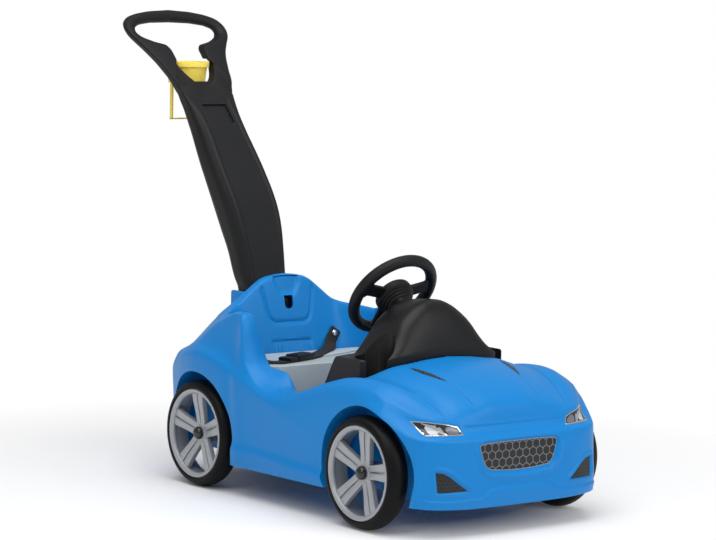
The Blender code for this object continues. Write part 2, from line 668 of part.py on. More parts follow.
def build_panels(shell):
    """Build the grille, headlights, fog panels and hood vents with their recesses."""
    front = form_at(PANEL_DEPTH)
    back = form_at(PANEL_BACK)
    base = form_at(RECESS_DEPTH)
    ahead = (-0.20 + AXLE_Y, -0.10 + AXLE_Y)
    aside = (-0.20 + AXLE_Y, -0.06 + AXLE_Y)
    above = (0.24, 0.32)
    jobs = [("grille", mirrored(list(GRILLE)), "Y", ahead, (BLACK, 0.45))]
    for side, sign in (("left", 1), ("right", -1)):
        jobs.append((f"headlight_{side}", flipped(HEADLIGHT, sign), "Y", aside, ((0.75, 0.76, 0.78), 0.2)))
        jobs.append((f"fog_panel_{side}", flipped(FOG, sign), "Y", ahead, (BLACK, 0.5)))
        vent = [(x * sign, y + AXLE_Y) for x, y in VENT]
        jobs.append((f"hood_vent_{side}", vent, "Z", above, (CHARCOAL, 0.5)))
    recesses = []
    for name, outline, axis, (low, high), look in jobs:
        surface_panel(name, outline, look, axis, low, high, front, back)
        recesses.append(prism(swollen(outline, GAP), low, high, axis))
    recess = guide("panel_recesses", merge(*recesses))
    boolean(recess, base)
    boolean(shell, recess)
    build_hexes(bpy.data.objects["grille"])


def build_hexes(grille):
    """Cut the grille's honeycomb cells into its face."""
    cells = []
    row_step = HEX_PITCH * math.sqrt(3) / 2
    for row in range(-1, 2):
        z = 0.1439 + row * row_step
        reach = 0.0875 - (0.166 - z) * 0.31 - HEX_PITCH / 2
        shift = HEX_PITCH / 2 if row % 2 else 0.0
        column = -8
        while column <= 8:
            x = column * HEX_PITCH + shift + 0.0003
            if abs(x) <= reach:
                corners = [(x + HEX_PITCH * 0.47 * math.cos(math.radians(60 * k + 30)),
                            z + HEX_PITCH * 0.47 * math.sin(math.radians(60 * k + 30))) for k in range(6)]
                cells.append(prism(corners, -0.20 + AXLE_Y, -0.11 + AXLE_Y, "Y"))
            column += 1
    cutter = guide("grille_cells", merge(*cells))
    boolean(cutter, form_at(PANEL_DEPTH + 0.0007))
    boolean(grille, cutter)


# Wheels: each piece is turned about its own axis, which points outwards

TYRE_STEPS = 32
TYRE_SEAT = RIM_RADIUS / math.cos(math.pi / TYRE_STEPS) + GAP
TYRE_PROFILE = ((TYRE_SEAT, -0.0015), (0.0925, 0.0), (0.0975, -0.0030), (0.1010, -0.0090),
                (0.1035, -0.0170), (WHEEL_RADIUS, -0.0250), (0.1035, -0.0360), (0.0995, -0.0480),
                (0.0925, -TYRE_WIDTH), (TYRE_SEAT, -0.0545))
HUB_FACE = -0.0150
SPOKE_TURN = {"front": 8.5, "rear": 18.0}


def on_axle(item, y, sign):
    """Stand a turned piece on an axle, its local Z pointing outwards, its origin at the wheel's centre."""
    axis = Vector((sign, 0, 0))
    item.matrix_world = Matrix.Translation(car(WHEEL_FACE_X * sign, y, WHEEL_RADIUS)) @ \
        axis.to_track_quat("Z", "Y").to_matrix().to_4x4()


def spoke(angle, offset):
    """Return one bar of a spoke pair, from the hub to the rim, falling towards the hub."""
    bm = bmesh.new()
    inner, outer, half = 0.010, RIM_RADIUS - 0.003, 0.0043
    levels = ((inner, HUB_FACE - 0.0015, HUB_FACE - 0.016, half * 1.1), (0.045, -0.0120, -0.026, half),
              (outer, -0.0058, -0.020, half * 1.25))
    rings = []
    for radius, top, bottom, width in levels:
        shift = offset * (0.70 + 0.30 * (radius - inner) / (outer - inner))
        ring = [(radius, shift - width, bottom), (radius, shift + width, bottom),
                (radius, shift + width * 0.72, top), (radius, shift - width * 0.72, top)]
        rings.append([bm.verts.new(point) for point in ring])
    for a, b in zip(rings[:-1], rings[1:]):
        for i in range(4):
            j = (i + 1) % 4
            bm.faces.new((a[i], a[j], b[j], b[i]))
    bm.faces.new(rings[0])
    bm.faces.new(rings[-1])
    bmesh.ops.recalc_face_normals(bm, faces=bm.faces)
    bmesh.ops.rotate(bm, cent=(0, 0, 0), matrix=Matrix.Rotation(angle, 3, "Z"), verts=bm.verts)
    return bm


def build_wheel(place, y, sign):
    """Build one wheel: tyre, rim with spoke pairs, hub bush and the axle's end cap."""
    tyre = turned(f"tyre_{place}", TYRE_PROFILE, (BLACK, 0.7), TYRE_STEPS)
    barrel = ((RIM_RADIUS, -0.0015), (RIM_RADIUS - 0.0030, 0.0), (RIM_RADIUS - 0.0090, -0.0050),
              (RIM_RADIUS - RIM_WALL, -0.0120),
              (RIM_RADIUS - RIM_WALL, -0.0530), (RIM_RADIUS, -0.0530))
    rim = turned(f"rim_{place}", barrel, (SILVER, 0.35, 0.3), 28)
    bore = AXLE_RADIUS + RUNNING + BUSH_WALL + GAP
    hub_profile = ((bore, HUB_FACE), (HUB_RADIUS - 0.002, HUB_FACE), (HUB_RADIUS, HUB_FACE - 0.002),
                   (HUB_RADIUS, -0.0660), (bore, -0.0660))
    hub = turned(f"hub_{place}", hub_profile, None, 20, CUTTERS)
    angles = [math.radians(360 / SPOKE_PAIRS * k) for k in range(SPOKE_PAIRS)]
    bars = guide(f"spokes_{place}", merge(*[spoke(a, half * 0.0072) for a in angles for half in (-1, 1)]))
    hole = guide(f"hub_bore_{place}", cylinder(bore, Vector((0, 0, -0.08)), Vector((0, 0, 0.01)), 16))
    turn = Matrix.Rotation(math.radians(SPOKE_TURN[place.split("_")[0]]), 4, "Z")
    for piece in (tyre, rim, hub, bars, hole):
        on_axle(piece, y, sign)
    for piece in (rim, hub, bars):
        piece.matrix_world = piece.matrix_world @ turn
    boolean(rim, bars, "UNION")
    boolean(rim, hub, "UNION")
    boolean(rim, hole)
    inner = AXLE_RADIUS + RUNNING
    bush = turned(f"wheel_bush_{place}", (
        (inner, HUB_FACE + 0.0020), (inner + BUSH_WALL + 0.003, HUB_FACE + 0.0020),
        (inner + BUSH_WALL + 0.003, HUB_FACE + GAP), (inner + BUSH_WALL, HUB_FACE + GAP),
        (inner + BUSH_WALL, -0.0664), (inner + BUSH_WALL + 0.004, -0.0664),
        (inner + BUSH_WALL + 0.004, WELL_INNER_X - WHEEL_FACE_X + 0.0012),
        (inner, WELL_INNER_X - WHEEL_FACE_X + 0.0012)), (CHARCOAL, 0.5), 20)
    start = HUB_FACE + 0.0026
    cap = turned(f"hub_cap_{place}", (
        (0.0, start + 0.0075), (0.0, start + 0.0105), (0.0060, start + 0.0098), (0.0100, start + 0.0075),
        (HUB_CAP_RADIUS, start + 0.0035), (HUB_CAP_RADIUS, start), (AXLE_RADIUS + GAP, start),
        (AXLE_RADIUS + GAP, start + 0.0075)), (BLACK, 0.3), 12)
    for piece in (bush, cap):
        on_axle(piece, y, sign)


def build_axles():
    """Build the two steel axles, each through both wheels."""
    half = WHEEL_FACE_X + HUB_FACE + 0.0026 + 0.0075 - GAP
    for name, y in (("front_axle", FRONT_AXLE_Y), ("rear_axle", FRONT_AXLE_Y + WHEELBASE)):
        rod = add(name, cylinder(AXLE_RADIUS, Vector((-half, 0, 0)), Vector((half, 0, 0)), 20),
                  (STEEL, 0.3, 1.0))
        rod.matrix_world = Matrix.Translation(car(0, y, WHEEL_RADIUS))


# Push handle

# Height, half width, and the front and rear as shares of the sweep behind the pivot
SHANK = ((PIVOT_Z, 0.0470, -0.0551, 0.0551),
         (0.33, 0.0455, -0.0476, 0.0776), (0.37, 0.0450, -0.0375, 0.0976),
         (0.40, 0.0465, -0.0175, 0.1227), (0.44, 0.0510, 0.0050, 0.1577),
         (0.48, 0.0550, 0.0325, 0.2078), (0.52, 0.0580, 0.0726, 0.2603),
         (0.56, 0.0590, 0.1327, 0.3179), (0.60, 0.0600, 0.2078, 0.3805),
         (0.64, 0.0590, 0.2854, 0.4456), (0.68, 0.0570, 0.3655, 0.5106),
         (0.72, 0.0575, 0.4556, 0.5707), (0.745, 0.0630, 0.5207, 0.6108),
         (0.768, 0.0700, 0.5807, 0.6358))
HOLLOW = ((0.2400, 0.0465, -0.0521, 0.0638),) + SHANK[1:11] + ((0.7300, 0.0595, 0.4806, 0.5857),)
HANDLE_WALL = 0.0042
LOOP_OUTER = ((0.044, 0.742), (0.063, 0.758), (0.0775, 0.780), (0.0900, 0.800), (0.100, 0.818),
              (0.1120, 0.838), (0.1240, 0.856), (0.1305, 0.870), (0.1320, 0.884), (0.1270, 0.897),
              (0.1120, 0.9080), (0.085, 0.9160), (0.050, 0.9215), (0.0, 0.9250))
NOTCH_LOW = 0.8030
LOOP_INNER = ((0.0, 0.7730), (0.0180, 0.7745), (0.0290, 0.7800), (0.0345, 0.7890), (0.0345, NOTCH_LOW),
              (0.0640, NOTCH_LOW), (0.0640, 0.8195), (0.0375, 0.8195), (0.0380, 0.8460), (0.0450, 0.8540),
              (0.0680, 0.8600), (0.0870, 0.8690), (0.0930, 0.8770), (0.0895, 0.8850), (0.0750, 0.8915),
              (0.0450, 0.8965), (0.0, 0.8985))
LOOP_LEAN = 2.403 * HANDLE_SWEEP
LOOP_DEPTH = 0.0270


def shank_form(inset=0.0, sections=SHANK):
    """Return the handle's shank, or the hollow inside it: a loft of sections with a flat, bevelled front."""
    bm = bmesh.new()
    rings = []
    for z, half, front_share, rear_share in sections:
        half -= inset
        front = PIVOT_Y + front_share * HANDLE_SWEEP + inset
        rear = PIVOT_Y + rear_share * HANDLE_SWEEP - inset
        depth = rear - front
        ring = [(half - 0.013, front), (half - 0.003, front + depth * 0.20), (half, front + depth * 0.38),
                (half, rear - depth * 0.22), (half - 0.004, rear - depth * 0.05), (half - 0.011, rear)]
        ring += [(-x, y) for x, y in reversed(ring)]
        rings.append([bm.verts.new(car(x, y, z)) for x, y in ring])
    for a, b in zip(rings[:-1], rings[1:]):
        for i in range(len(a)):
            j = (i + 1) % len(a)
            bm.faces.new((a[i], a[j], b[j], b[i]))
    bm.faces.new(rings[0])
    bm.faces.new(rings[-1])
    bmesh.ops.recalc_face_normals(bm, faces=bm.faces)
    return bm


def plate_with_hole(outer, inner, half_depth, rounding):
    """Return a plate in XZ, centred on Y = 0, from two closed outlines, with rounded edges."""
    curve = bpy.data.curves.new("outline", "CURVE")
    curve.dimensions = "2D"
    curve.fill_mode = "BOTH"
    curve.extrude = half_depth - rounding
    curve.bevel_depth = rounding
    curve.bevel_resolution = 1
    curve.offset = -rounding
    for outline in (outer, inner):
        spline = curve.splines.new("POLY")
        spline.points.add(len(outline) - 1)
        for point, (x, z) in zip(spline.points, outline):
            point.co = (x, z, 0, 1)
        spline.use_cyclic_u = True
    holder = bpy.data.objects.new("outline", curve)
    bpy.context.scene.collection.objects.link(holder)
    graph = bpy.context.evaluated_depsgraph_get()
    mesh = bpy.data.meshes.new_from_object(holder.evaluated_get(graph))
    bm = bmesh.new()
    bm.from_mesh(mesh)
    bpy.data.meshes.remove(mesh)
    bpy.data.objects.remove(holder, do_unlink=True)
    bmesh.ops.remove_doubles(bm, verts=bm.verts, dist=0.0001)
    bmesh.ops.rotate(bm, cent=(0, 0, 0), matrix=Matrix.Rotation(math.radians(90), 3, "X"), verts=bm.verts)
    bmesh.ops.recalc_face_normals(bm, faces=bm.faces)
    return bm


def loop_form():
    """Return the handle's loop: a rounded frame leaning back above the shank."""
    bm = plate_with_hole(mirrored(list(LOOP_OUTER)), mirrored(list(LOOP_INNER)), LOOP_DEPTH / 2, 0.0080)
    for vert in bm.verts:
        vert.co.y += (vert.co.z - 0.80) * LOOP_LEAN
    reach = car(0, HANDLE_REACH, 0).y - max(vert.co.y for vert in bm.verts)
    bmesh.ops.translate(bm, vec=(0, reach, 0), verts=bm.verts)
    return bm


def build_handle():
    """Build the folding push handle, its pin and the latch that holds it up."""
    handle = add("push_handle", shank_form(), (BLACK, 0.5))
    foot = guide("handle_foot", cylinder(FOOT_RADIUS, car(-0.0470, PIVOT_Y, PIVOT_Z),
                                         car(0.0470, PIVOT_Y, PIVOT_Z), 28))
    stop = guide("handle_stop", block(car(-0.030, CHANNEL_FRONT + FIT, 0.296),
                                      car(0.030, 0.650, 0.314), 0.002))
    loop = guide("handle_loop", loop_form())
    for piece in (foot, loop, stop):
        boolean(handle, piece, "UNION")
    hollow = guide("handle_hollow", shank_form(HANDLE_WALL, HOLLOW))
    boolean(handle, hollow)
    pocket = guide("latch_window", block(car(-SLOT_HALF_WIDTH, 0.6200, 0.3410),
                                         car(SLOT_HALF_WIDTH, LATCH_END + LATCH_TRAVEL + FIT, 0.3610)))
    hole = guide("handle_bore", cylinder(PIVOT_PIN_RADIUS + RUNNING, car(-0.06, PIVOT_Y, PIVOT_Z),
                                         car(0.06, PIVOT_Y, PIVOT_Z), 20))
    for cut in (pocket, hole, holder_seat()):
        boolean(handle, cut)
    shift_origin(handle, car(0, PIVOT_Y, PIVOT_Z))
    reach = CHANNEL_HALF + WALL - GAP
    pin = add("handle_pin", cylinder(PIVOT_PIN_RADIUS, Vector((-reach, 0, 0)), Vector((reach, 0, 0)), 20),
              (STEEL, 0.3, 1.0))
    pin.matrix_world = Matrix.Translation(car(0, PIVOT_Y, PIVOT_Z))


def holder_seat():
    """Return the cutter that seats the cup holder's bowl and lip in the handle's loop."""
    lip = HOLDER_TOP_Z - HOLDER_LIP_HEIGHT - FIT
    inner = HOLDER_RADIUS + FIT * 1.5
    outer = inner + HOLDER_LIP
    seat = turned("holder_seat", ((0.0, 0.7600), (inner, 0.7600), (inner, lip), (outer, lip),
                                  (outer, HOLDER_TOP_Z + FIT), (0.0, HOLDER_TOP_Z + FIT)), None, 30, CUTTERS)
    seat.matrix_world = Matrix.Translation(car(0, HOLDER_Y, 0))
    return seat


def shift_origin(item, place):
    """Move an object's origin without moving its shape."""
    delta = place - item.matrix_world.translation
    item.data.transform(Matrix.Translation(-delta))
    item.matrix_world = Matrix.Translation(place)


def build_latch(shell):
    """Build the sprung latch in the seatback's slot, and cut the slot."""
    half = SLOT_HALF_WIDTH
    slot_outline = [(-half, SLOT_Z + SLOT_HALF_HEIGHT), (half, SLOT_Z + SLOT_HALF_HEIGHT),
                    (half, SLOT_Z - 0.004), (half * 0.72, SLOT_Z - SLOT_HALF_HEIGHT * 0.8),
                    (0.0, SLOT_Z - SLOT_HALF_HEIGHT),
                    (-half * 0.72, SLOT_Z - SLOT_HALF_HEIGHT * 0.8), (-half, SLOT_Z - 0.004)]
    slot = guide("latch_slot", prism(slot_outline, 0.55 + AXLE_Y, 0.635 + AXLE_Y, "Y"))
    boolean(shell, slot)
    width = half - FIT
    profile = ((0.5845, 0.3400), (0.5845, 0.3535), (LATCH_END, 0.3535), (LATCH_END, 0.3437), (0.5900, 0.3437),
               (0.5900, 0.3400))
    latch = add("handle_latch", prism([(y + AXLE_Y, z) for y, z in profile], -width, width, "X"),
                (BLACK, 0.45))
    shift_origin(latch, car(0, 0.6175, 0.3460))


# Dash, steering and seat

DOME = ((0.0, 1.0), (0.020, 0.985), (0.040, 0.915), (0.062, 0.77), (0.080, 0.615), (0.100, 0.345),
        (0.118, 0.12), (0.133, 0.0), (0.2, 0.0))
DOME_RISE = ((0.074, 0.0), (0.080, 0.26), (0.088, 0.56), (0.100, 0.85), (0.112, 0.97), (0.126, 1.0),
             (0.150, 0.99), (0.186, 0.94))
DASH_INSET = 0.0064
DASH_CORNER = 0.0080


def dash_edge(y):
    """Return the dash's half width at y."""
    return curve_through(LIP_X, y) - DASH_INSET


def dash_grid():
    """Return the rows of the dash's top surface, left half, from the centre plane outwards."""
    shares = (0.0, 0.12, 0.24, 0.36, 0.47, 0.58, 0.69, 0.78, 0.90, 1.0)
    steps = (0.0, 0.04, 0.09, 0.15, 0.23, 0.34, 0.50, 0.75, 1.0)
    rows = []
    for step in steps:
        row = []
        for share in shares:
            y = 0.1
            x = 0.0
            for _ in range(6):
                x = share * dash_edge(y)
                start = cowl_line(x) + DASH_INSET + DASH_CORNER * share ** 4
                y = start + (DASH_REAR - start) * step
            rise = curve_through(DOME, x) * curve_through(DOME_RISE, y)
            drop = 0.004 * (share ** 8) + 0.003 * max(0.0, 1 - step / 0.05)
            row.append(Vector((x, y, LEDGE_Z + DOME_HEIGHT * rise - drop)))
        rows.append(row)
    return rows


def dash_walls(edge):
    """Return the rings below the dash's border, down to its bottom edge."""
    normals = plan_normals(edge)
    rings = []
    for share in (0.06, 0.55, 1.0):
        ring = []
        for point, normal in zip(edge, normals):
            low = SHELF_Z + GAP
            out = 0.002 * min(1.0, share / 0.06)
            out += 0.030 * max(0.0, normal.y) ** 2 * share
            place = point + normal * (out if normal.y > 0.3 else 0.0)
            x = min(max(place.x, 0.0), dash_edge(place.y) - 0.0004)
            ring.append(Vector((x, place.y, point.z + (low - point.z) * share)))
        ring[0].x = 0.0
        ring[-1].x = 0.0
        rings.append(ring)
    return rings


def dash_surface(closed):
    """Return the dash's outer surface: an open left half, or the closed whole."""
    rows = dash_grid()
    bm = bmesh.new()
    grid = [place_row(bm, row) for row in rows]
    net(bm, grid)
    spots = body_outline_edges(rows)
    rings = [[grid[i][j] for i, j in spots]]
    rings += [place_row(bm, ring) for ring in dash_walls([rows[i][j] for i, j in spots])]
    net(bm, rings, flip=True)
    if closed:
        copy = bmesh.ops.duplicate(bm, geom=bm.verts[:] + bm.edges[:] + bm.faces[:])["geom"]
        for item in copy:
            if isinstance(item, bmesh.types.BMVert):
                item.co.x = -item.co.x
        bmesh.ops.remove_doubles(bm, verts=bm.verts, dist=0.0001)
        bmesh.ops.holes_fill(bm, edges=bm.edges, sides=0)
    bmesh.ops.recalc_face_normals(bm, faces=bm.faces)
    top = min(bm.faces, key=lambda f: (f.calc_center_median() - car(0.02, 0.14, 0.39)).length)
    if top.normal.z < 0:
        bmesh.ops.reverse_faces(bm, faces=bm.faces)
    return bm


def steering_point(distance, radius=0.0, angle=0.0):
    """Return a point on the steering axis, or off it by a radius; distance grows to the driver."""
    turn = Matrix.Rotation(STEERING_TILT, 3, "X")
    local = Vector((radius * math.cos(angle), radius * math.sin(angle), distance))
    return car(0, STEERING_Y, STEERING_Z) + turn @ local


def build_dash():
    """Build the dash with its dome, cup wells and steering boss."""
    dash = add("dash_console", dash_surface(False), (BLACK, 0.42))
    twin = dash.modifiers.new("Mirror", "MIRROR")
    twin.merge_threshold = 0.0001
    wall = dash.modifiers.new("Wall", "SOLIDIFY")
    wall.thickness = DASH_WALL
    wall.offset = -1.0
    wall.use_even_offset = True
    form = guide("dash_form", dash_surface(True))
    inset = form.modifiers.new("Into the wall", "DISPLACE")
    inset.strength = -DASH_WALL / 2
    inset.mid_level = 0.0
    bottom = LEDGE_Z - CUP_DEPTH
    walls = [cylinder(CUP_RADIUS + CUP_WALL, car(CUP_X * s, CUP_Y, bottom - CUP_WALL),
                      car(CUP_X * s, CUP_Y, 0.42), 32) for s in (1, -1)]
    wells = guide("cup_wells", merge(*walls))
    boolean(wells, form, "INTERSECT")
    boss = guide("steering_boss", cylinder(0.0250, steering_point(-0.0900), steering_point(-0.0330), 28))
    for piece in (wells, boss):
        boolean(dash, piece, "UNION")
    spaces = [cylinder(CUP_RADIUS, car(CUP_X * s, CUP_Y, bottom), car(CUP_X * s, CUP_Y, 0.44), 32)
              for s in (1, -1)]
    below = block(car(-0.25, 0.0, SHELF_Z - 0.05), car(0.25, 0.3, SHELF_Z + GAP))
    boolean(dash, guide("cup_space", merge(*spaces, below)))
    boolean(dash, guide("steering_bore", cylinder(SHAFT_RADIUS + RUNNING, steering_point(-0.12),
                                                  steering_point(-0.01), 24)))


def build_steering():
    """Build the steering wheel with its shaft, clip and horn button."""
    tilt = (steering_point(1) - steering_point(0)).to_track_quat("Z", "Y").to_matrix().to_4x4()
    seat = Matrix.Translation(steering_point(0)) @ tilt
    tube = [(WHEEL_RIM_RADIUS + WHEEL_RIM_TUBE * math.cos(math.radians(45 * k)),
             WHEEL_RIM_TUBE * math.sin(math.radians(45 * k))) for k in range(8)]
    wheel = turned("steering_wheel", tube, (BLACK, 0.45), 36, smooth=60.0)
    core = cylinder(STEERING_HUB_RADIUS, Vector((0, 0, -STEERING_HUB_DEPTH)), Vector((0, 0, 0.004)), 28)
    round_edges(core, [e for e in core.edges if abs(e.verts[0].co.z - e.verts[1].co.z) < 0.0001], 0.003, 1)
    hub = guide("steering_hub", core)
    spokes = []
    for angle, half in ((165, 0.011), (15, 0.011), (270, 0.018)):
        bar = block(Vector((0.020, -half, -0.0075)), Vector((WHEEL_RIM_RADIUS, half, 0.0010)), 0.002, 1)
        bmesh.ops.rotate(bar, cent=(0, 0, 0), matrix=Matrix.Rotation(math.radians(angle), 3, "Z"),
                         verts=bar.verts)
        spokes.append(bar)
    arms = guide("steering_spokes", merge(*spokes))
    well = guide("horn_well", cylinder(HORN_RADIUS + FIT, Vector((0, 0, -HORN_WELL)),
                                       Vector((0, 0, 0.02)), 28))
    hole = guide("steering_shaft_bore", cylinder(SHAFT_STUB_RADIUS + GAP, Vector((0, 0, -0.05)),
                                                 Vector(), 20))
    for piece in (wheel, hub, arms, well, hole):
        piece.matrix_world = seat.copy()
    for piece in (hub, arms):
        boolean(wheel, piece, "UNION")
    for piece in (well, hole):
        boolean(wheel, piece)
    back = HORN_TRAVEL + FIT - HORN_WELL
    face = ((0.0, 0.0090), (0.0, back), (HORN_RADIUS, back), (HORN_RADIUS, 0.0040),
            (HORN_RADIUS - 0.003, 0.0062), (HORN_RADIUS * 0.5, 0.0082))
    horn = turned("horn_button", face, (CHARCOAL, 0.35), 28)
    stub = -HORN_WELL - 0.0005
    shaft = turned("steering_shaft", ((0.0, stub), (SHAFT_STUB_RADIUS, stub),
                                      (SHAFT_STUB_RADIUS, -STEERING_HUB_DEPTH - GAP),
                                      (0.0160, -STEERING_HUB_DEPTH - GAP), (0.0160, -0.0325),
                                      (SHAFT_RADIUS, -0.0325), (SHAFT_RADIUS, -0.0905), (0.0085, -0.0905),
                                      (0.0085, -0.0960), (0.0, -0.0960)), (CHARCOAL, 0.5), 24)
    clip = turned("steering_clip", ((0.0085 + GAP, -0.0910), (0.0180, -0.0910), (0.0180, -0.0940),
                                    (0.0085 + GAP, -0.0940)), (STEEL, 0.3, 1.0), 24)
    for piece in (horn, shaft, clip):
        piece.matrix_world = seat.copy()


def build_seat():
    """Build the light grey seat with its front apron."""
    edge = LIP_X
    outline = []
    for y in (SEAT_FRONT, 0.386, FOOTWELL_REAR, 0.398, 0.404, 0.412, 0.425, 0.455, 0.495, 0.52, 0.53):
        outline.append((curve_through(edge, y) - SEAT_INSET, y + AXLE_Y))
    outline += [(0.150, 0.5430 + AXLE_Y), (0.0, 0.5430 + AXLE_Y)]
    outline[0] = (outline[0][0], SEAT_FRONT + AXLE_Y)
    plate = prism(mirrored([(0.0, SEAT_FRONT + AXLE_Y)] + outline), SHELF_Z + GAP, SEAT_TOP_Z, "Z")
    seat = add("seat_pan", plate, (PALE_GREY, 0.45))
    top = seat.modifiers.new("Rounded", "BEVEL")
    top.width = 0.0030
    top.segments = 2
    top.limit_method = "ANGLE"
    apron = guide("seat_apron", block(car(-0.160, SEAT_FRONT - 0.0020, FLOOR_Z + GAP),
                                      car(0.160, SEAT_FRONT + 0.0035, SEAT_TOP_Z - 0.001), 0.001, 1))
    boolean(seat, apron, "UNION")


# Belt and cup holder

def ribbon(points, faces, width, thickness):
    """Return a flat strap along points; each face vector is the way the strap's flat side looks."""
    bm = bmesh.new()
    rings = []
    for i, point in enumerate(points):
        along = (points[min(i + 1, len(points) - 1)] - points[max(i - 1, 0)]).normalized()
        side = along.cross(faces[i]).normalized()
        up = side.cross(along).normalized()
        ring = [point + side * width / 2 * a + up * thickness / 2 * b
                for a, b in ((-1, -1), (1, -1), (1, 1), (-1, 1))]
        rings.append([bm.verts.new(corner) for corner in ring])
    for a, b in zip(rings[:-1], rings[1:]):
        for i in range(4):
            j = (i + 1) % 4
            bm.faces.new((a[i], a[j], b[j], b[i]))
    bm.faces.new(rings[0])
    bm.faces.new(rings[-1])
    bmesh.ops.recalc_face_normals(bm, faces=bm.faces)
    return bm


WALL_NORMAL = Vector((0, -1, SEATBACK_LEAN)).normalized()


def flat_piece(name, low, high, bevel, look):
    """Return a buckle piece: a rounded block in the frame that lies along the buckle."""
    piece = add(name, block(Vector(low), Vector(high), bevel, 1), look)
    piece.matrix_world = buckle_frame()
    return piece


def buckle_frame():
    """Return the frame of the buckle: X along it from the left strap's end, Z up, on the seat."""
    start = car(*BUCKLE_START, SEAT_TOP_Z + GAP)
    along = car(*BUCKLE_END, SEAT_TOP_Z + GAP) - start
    return Matrix.Translation(start) @ along.to_track_quat("X", "Z").to_matrix().to_4x4()


def build_buckle():
    """Build the buckle and its tongue, with the pockets that take the straps and the blade."""
    length = (Vector(BUCKLE_END) - Vector(BUCKLE_START)).length
    split = length - 0.026
    half = BELT_WIDTH / 2
    body = flat_piece("belt_buckle", (0, -half - 0.004, 0), (split, half + 0.004, 0.0115), 0.0022,
                      (BLACK, 0.4))
    tongue = flat_piece("belt_tongue", (split + FIT, -half - 0.003, 0), (length, half + 0.003, 0.0085), 0.002,
                        (BLACK, 0.4))
    blade = guide("tongue_blade", block(Vector((split - 0.020, -0.009, 0.003)),
                                        Vector((split + 0.004, 0.009, 0.006))))
    boolean(tongue, blade, "UNION")
    blade.matrix_world = buckle_frame()
    pockets = (
        (body, (split - 0.021, -0.0096, 0.0024), (split + 0.002, 0.0096, 0.0066)),
        (body, (-0.002, -half - FIT, -0.001), (0.008, half + FIT, BELT_THICKNESS + FIT)),
        (tongue, (length - 0.008, -half - FIT, -0.001), (length + 0.002, half + FIT, BELT_THICKNESS + FIT)))
    for index, (piece, low, high) in enumerate(pockets):
        pocket = guide(f"buckle_pocket_{index}", block(Vector(low), Vector(high)))
        pocket.matrix_world = buckle_frame()
        boolean(piece, pocket)


def build_belt(shell):
    """Build the lap belt: two straps from their anchor screws to the buckle on the seat."""
    low = SEAT_TOP_Z + 2 * GAP + BELT_THICKNESS / 2
    along = (Vector(BUCKLE_END) - Vector(BUCKLE_START)).normalized()
    left_end = Vector(BUCKLE_START) + along * 0.0070
    left_start = Vector(BUCKLE_START) - along * 0.0200
    right_end = Vector(BUCKLE_END) - along * 0.0070
    right_start = Vector(BUCKLE_END) + along * 0.0140
    paths = {
        "left": ((0.084, 0.5440, 0.2575), (0.062, 0.5270, low + 0.0005),
                 (0.020, 0.4950, low), (left_start.x, left_start.y, low), (left_end.x, left_end.y, low)),
        "right": ((-0.107, 0.5420, 0.2575), (-0.124, 0.5180, low + 0.0005),
                  (-0.146, 0.4900, low), (-0.150, 0.4500, low), (-0.144, 0.4280, low),
                  (right_start.x, right_start.y, low), (right_end.x, right_end.y, low))}
    holes = []
    for side, sign in (("left", 1), ("right", -1)):
        anchor = car(ANCHOR_X * sign, ANCHOR_Y, ANCHOR_Z)
        rise = Vector((0.006 * sign, 0.008 * SEATBACK_LEAN, 0.008))
        points = [anchor + rise, anchor, anchor - rise * 1.3]
        points += [car(*place) for place in paths[side]]
        faces = [WALL_NORMAL] * 3 + [Vector((0, -0.5, 0.85))] + [Vector((0, 0, 1))] * (len(points) - 4)
        strap = add(f"belt_strap_{side}", ribbon(points, faces, BELT_WIDTH, BELT_THICKNESS), (BLACK, 0.8))
        hole = guide(f"belt_hole_{side}", cylinder(0.0026, anchor - WALL_NORMAL * 0.012,
                                                   anchor + WALL_NORMAL * 0.012, 14))
        boolean(strap, hole)
        holes.append(hole)
        head = BELT_THICKNESS / 2 + GAP
        screw = turned(f"belt_screw_{side}", (
            (0.0, -0.0100), (0.0022, -0.0100), (0.0022, head), (0.0065, head), (0.0050, head + 0.0025),
            (0.0, head + 0.0031)), (STEEL, 0.3, 1.0), 14)
        turn = WALL_NORMAL.to_track_quat("Z", "Y").to_matrix().to_4x4()
        screw.matrix_world = Matrix.Translation(anchor) @ turn
    for hole in holes:
        boolean(shell, hole)
    build_buckle()


def build_holder():
    """Build the parent's cup holder: lip, tapered band, ears and the hoop below."""
    top = HOLDER_TOP_Z
    lip = top - HOLDER_LIP_HEIGHT
    radius = HOLDER_RADIUS
    profile = ((radius - HOLDER_WALL, top), (radius + HOLDER_LIP - 0.001, top),
               (radius + HOLDER_LIP, top - 0.001), (radius + HOLDER_LIP, lip), (radius, lip),
               (radius - 0.004, lip - 0.034),
               (radius - 0.004 - HOLDER_WALL, lip - 0.034), (radius - HOLDER_WALL, lip))
    holder = turned("parent_cup_holder", profile, (YELLOW, 0.4), 28)
    holder.matrix_world = Matrix.Translation(car(0, HOLDER_Y, 0))
    ears = guide("holder_ears", block(car(-0.0615, HOLDER_Y - 0.038, NOTCH_LOW + GAP),
                                      car(0.0615, HOLDER_Y + 0.006, top - 0.0015)))
    space = cylinder(radius - HOLDER_WALL, car(0, HOLDER_Y, lip - 0.006), car(0, HOLDER_Y, top + 0.01), 30)
    boolean(holder, ears, "UNION")
    boolean(holder, guide("holder_space", space))
    low, deep = HOLDER_BASE_Z, 0.008
    spans = ((-0.0415, -0.0365, low, lip - 0.020), (0.0365, 0.0415, low, lip - 0.020),
             (-0.0415, 0.0415, low, low + 0.004))
    for index, (left, right, bottom, high) in enumerate(spans):
        bar = block(car(left, HOLDER_Y - deep, bottom), car(right, HOLDER_Y + deep, high))
        boolean(holder, guide(f"holder_bar_{index}", bar), "UNION")


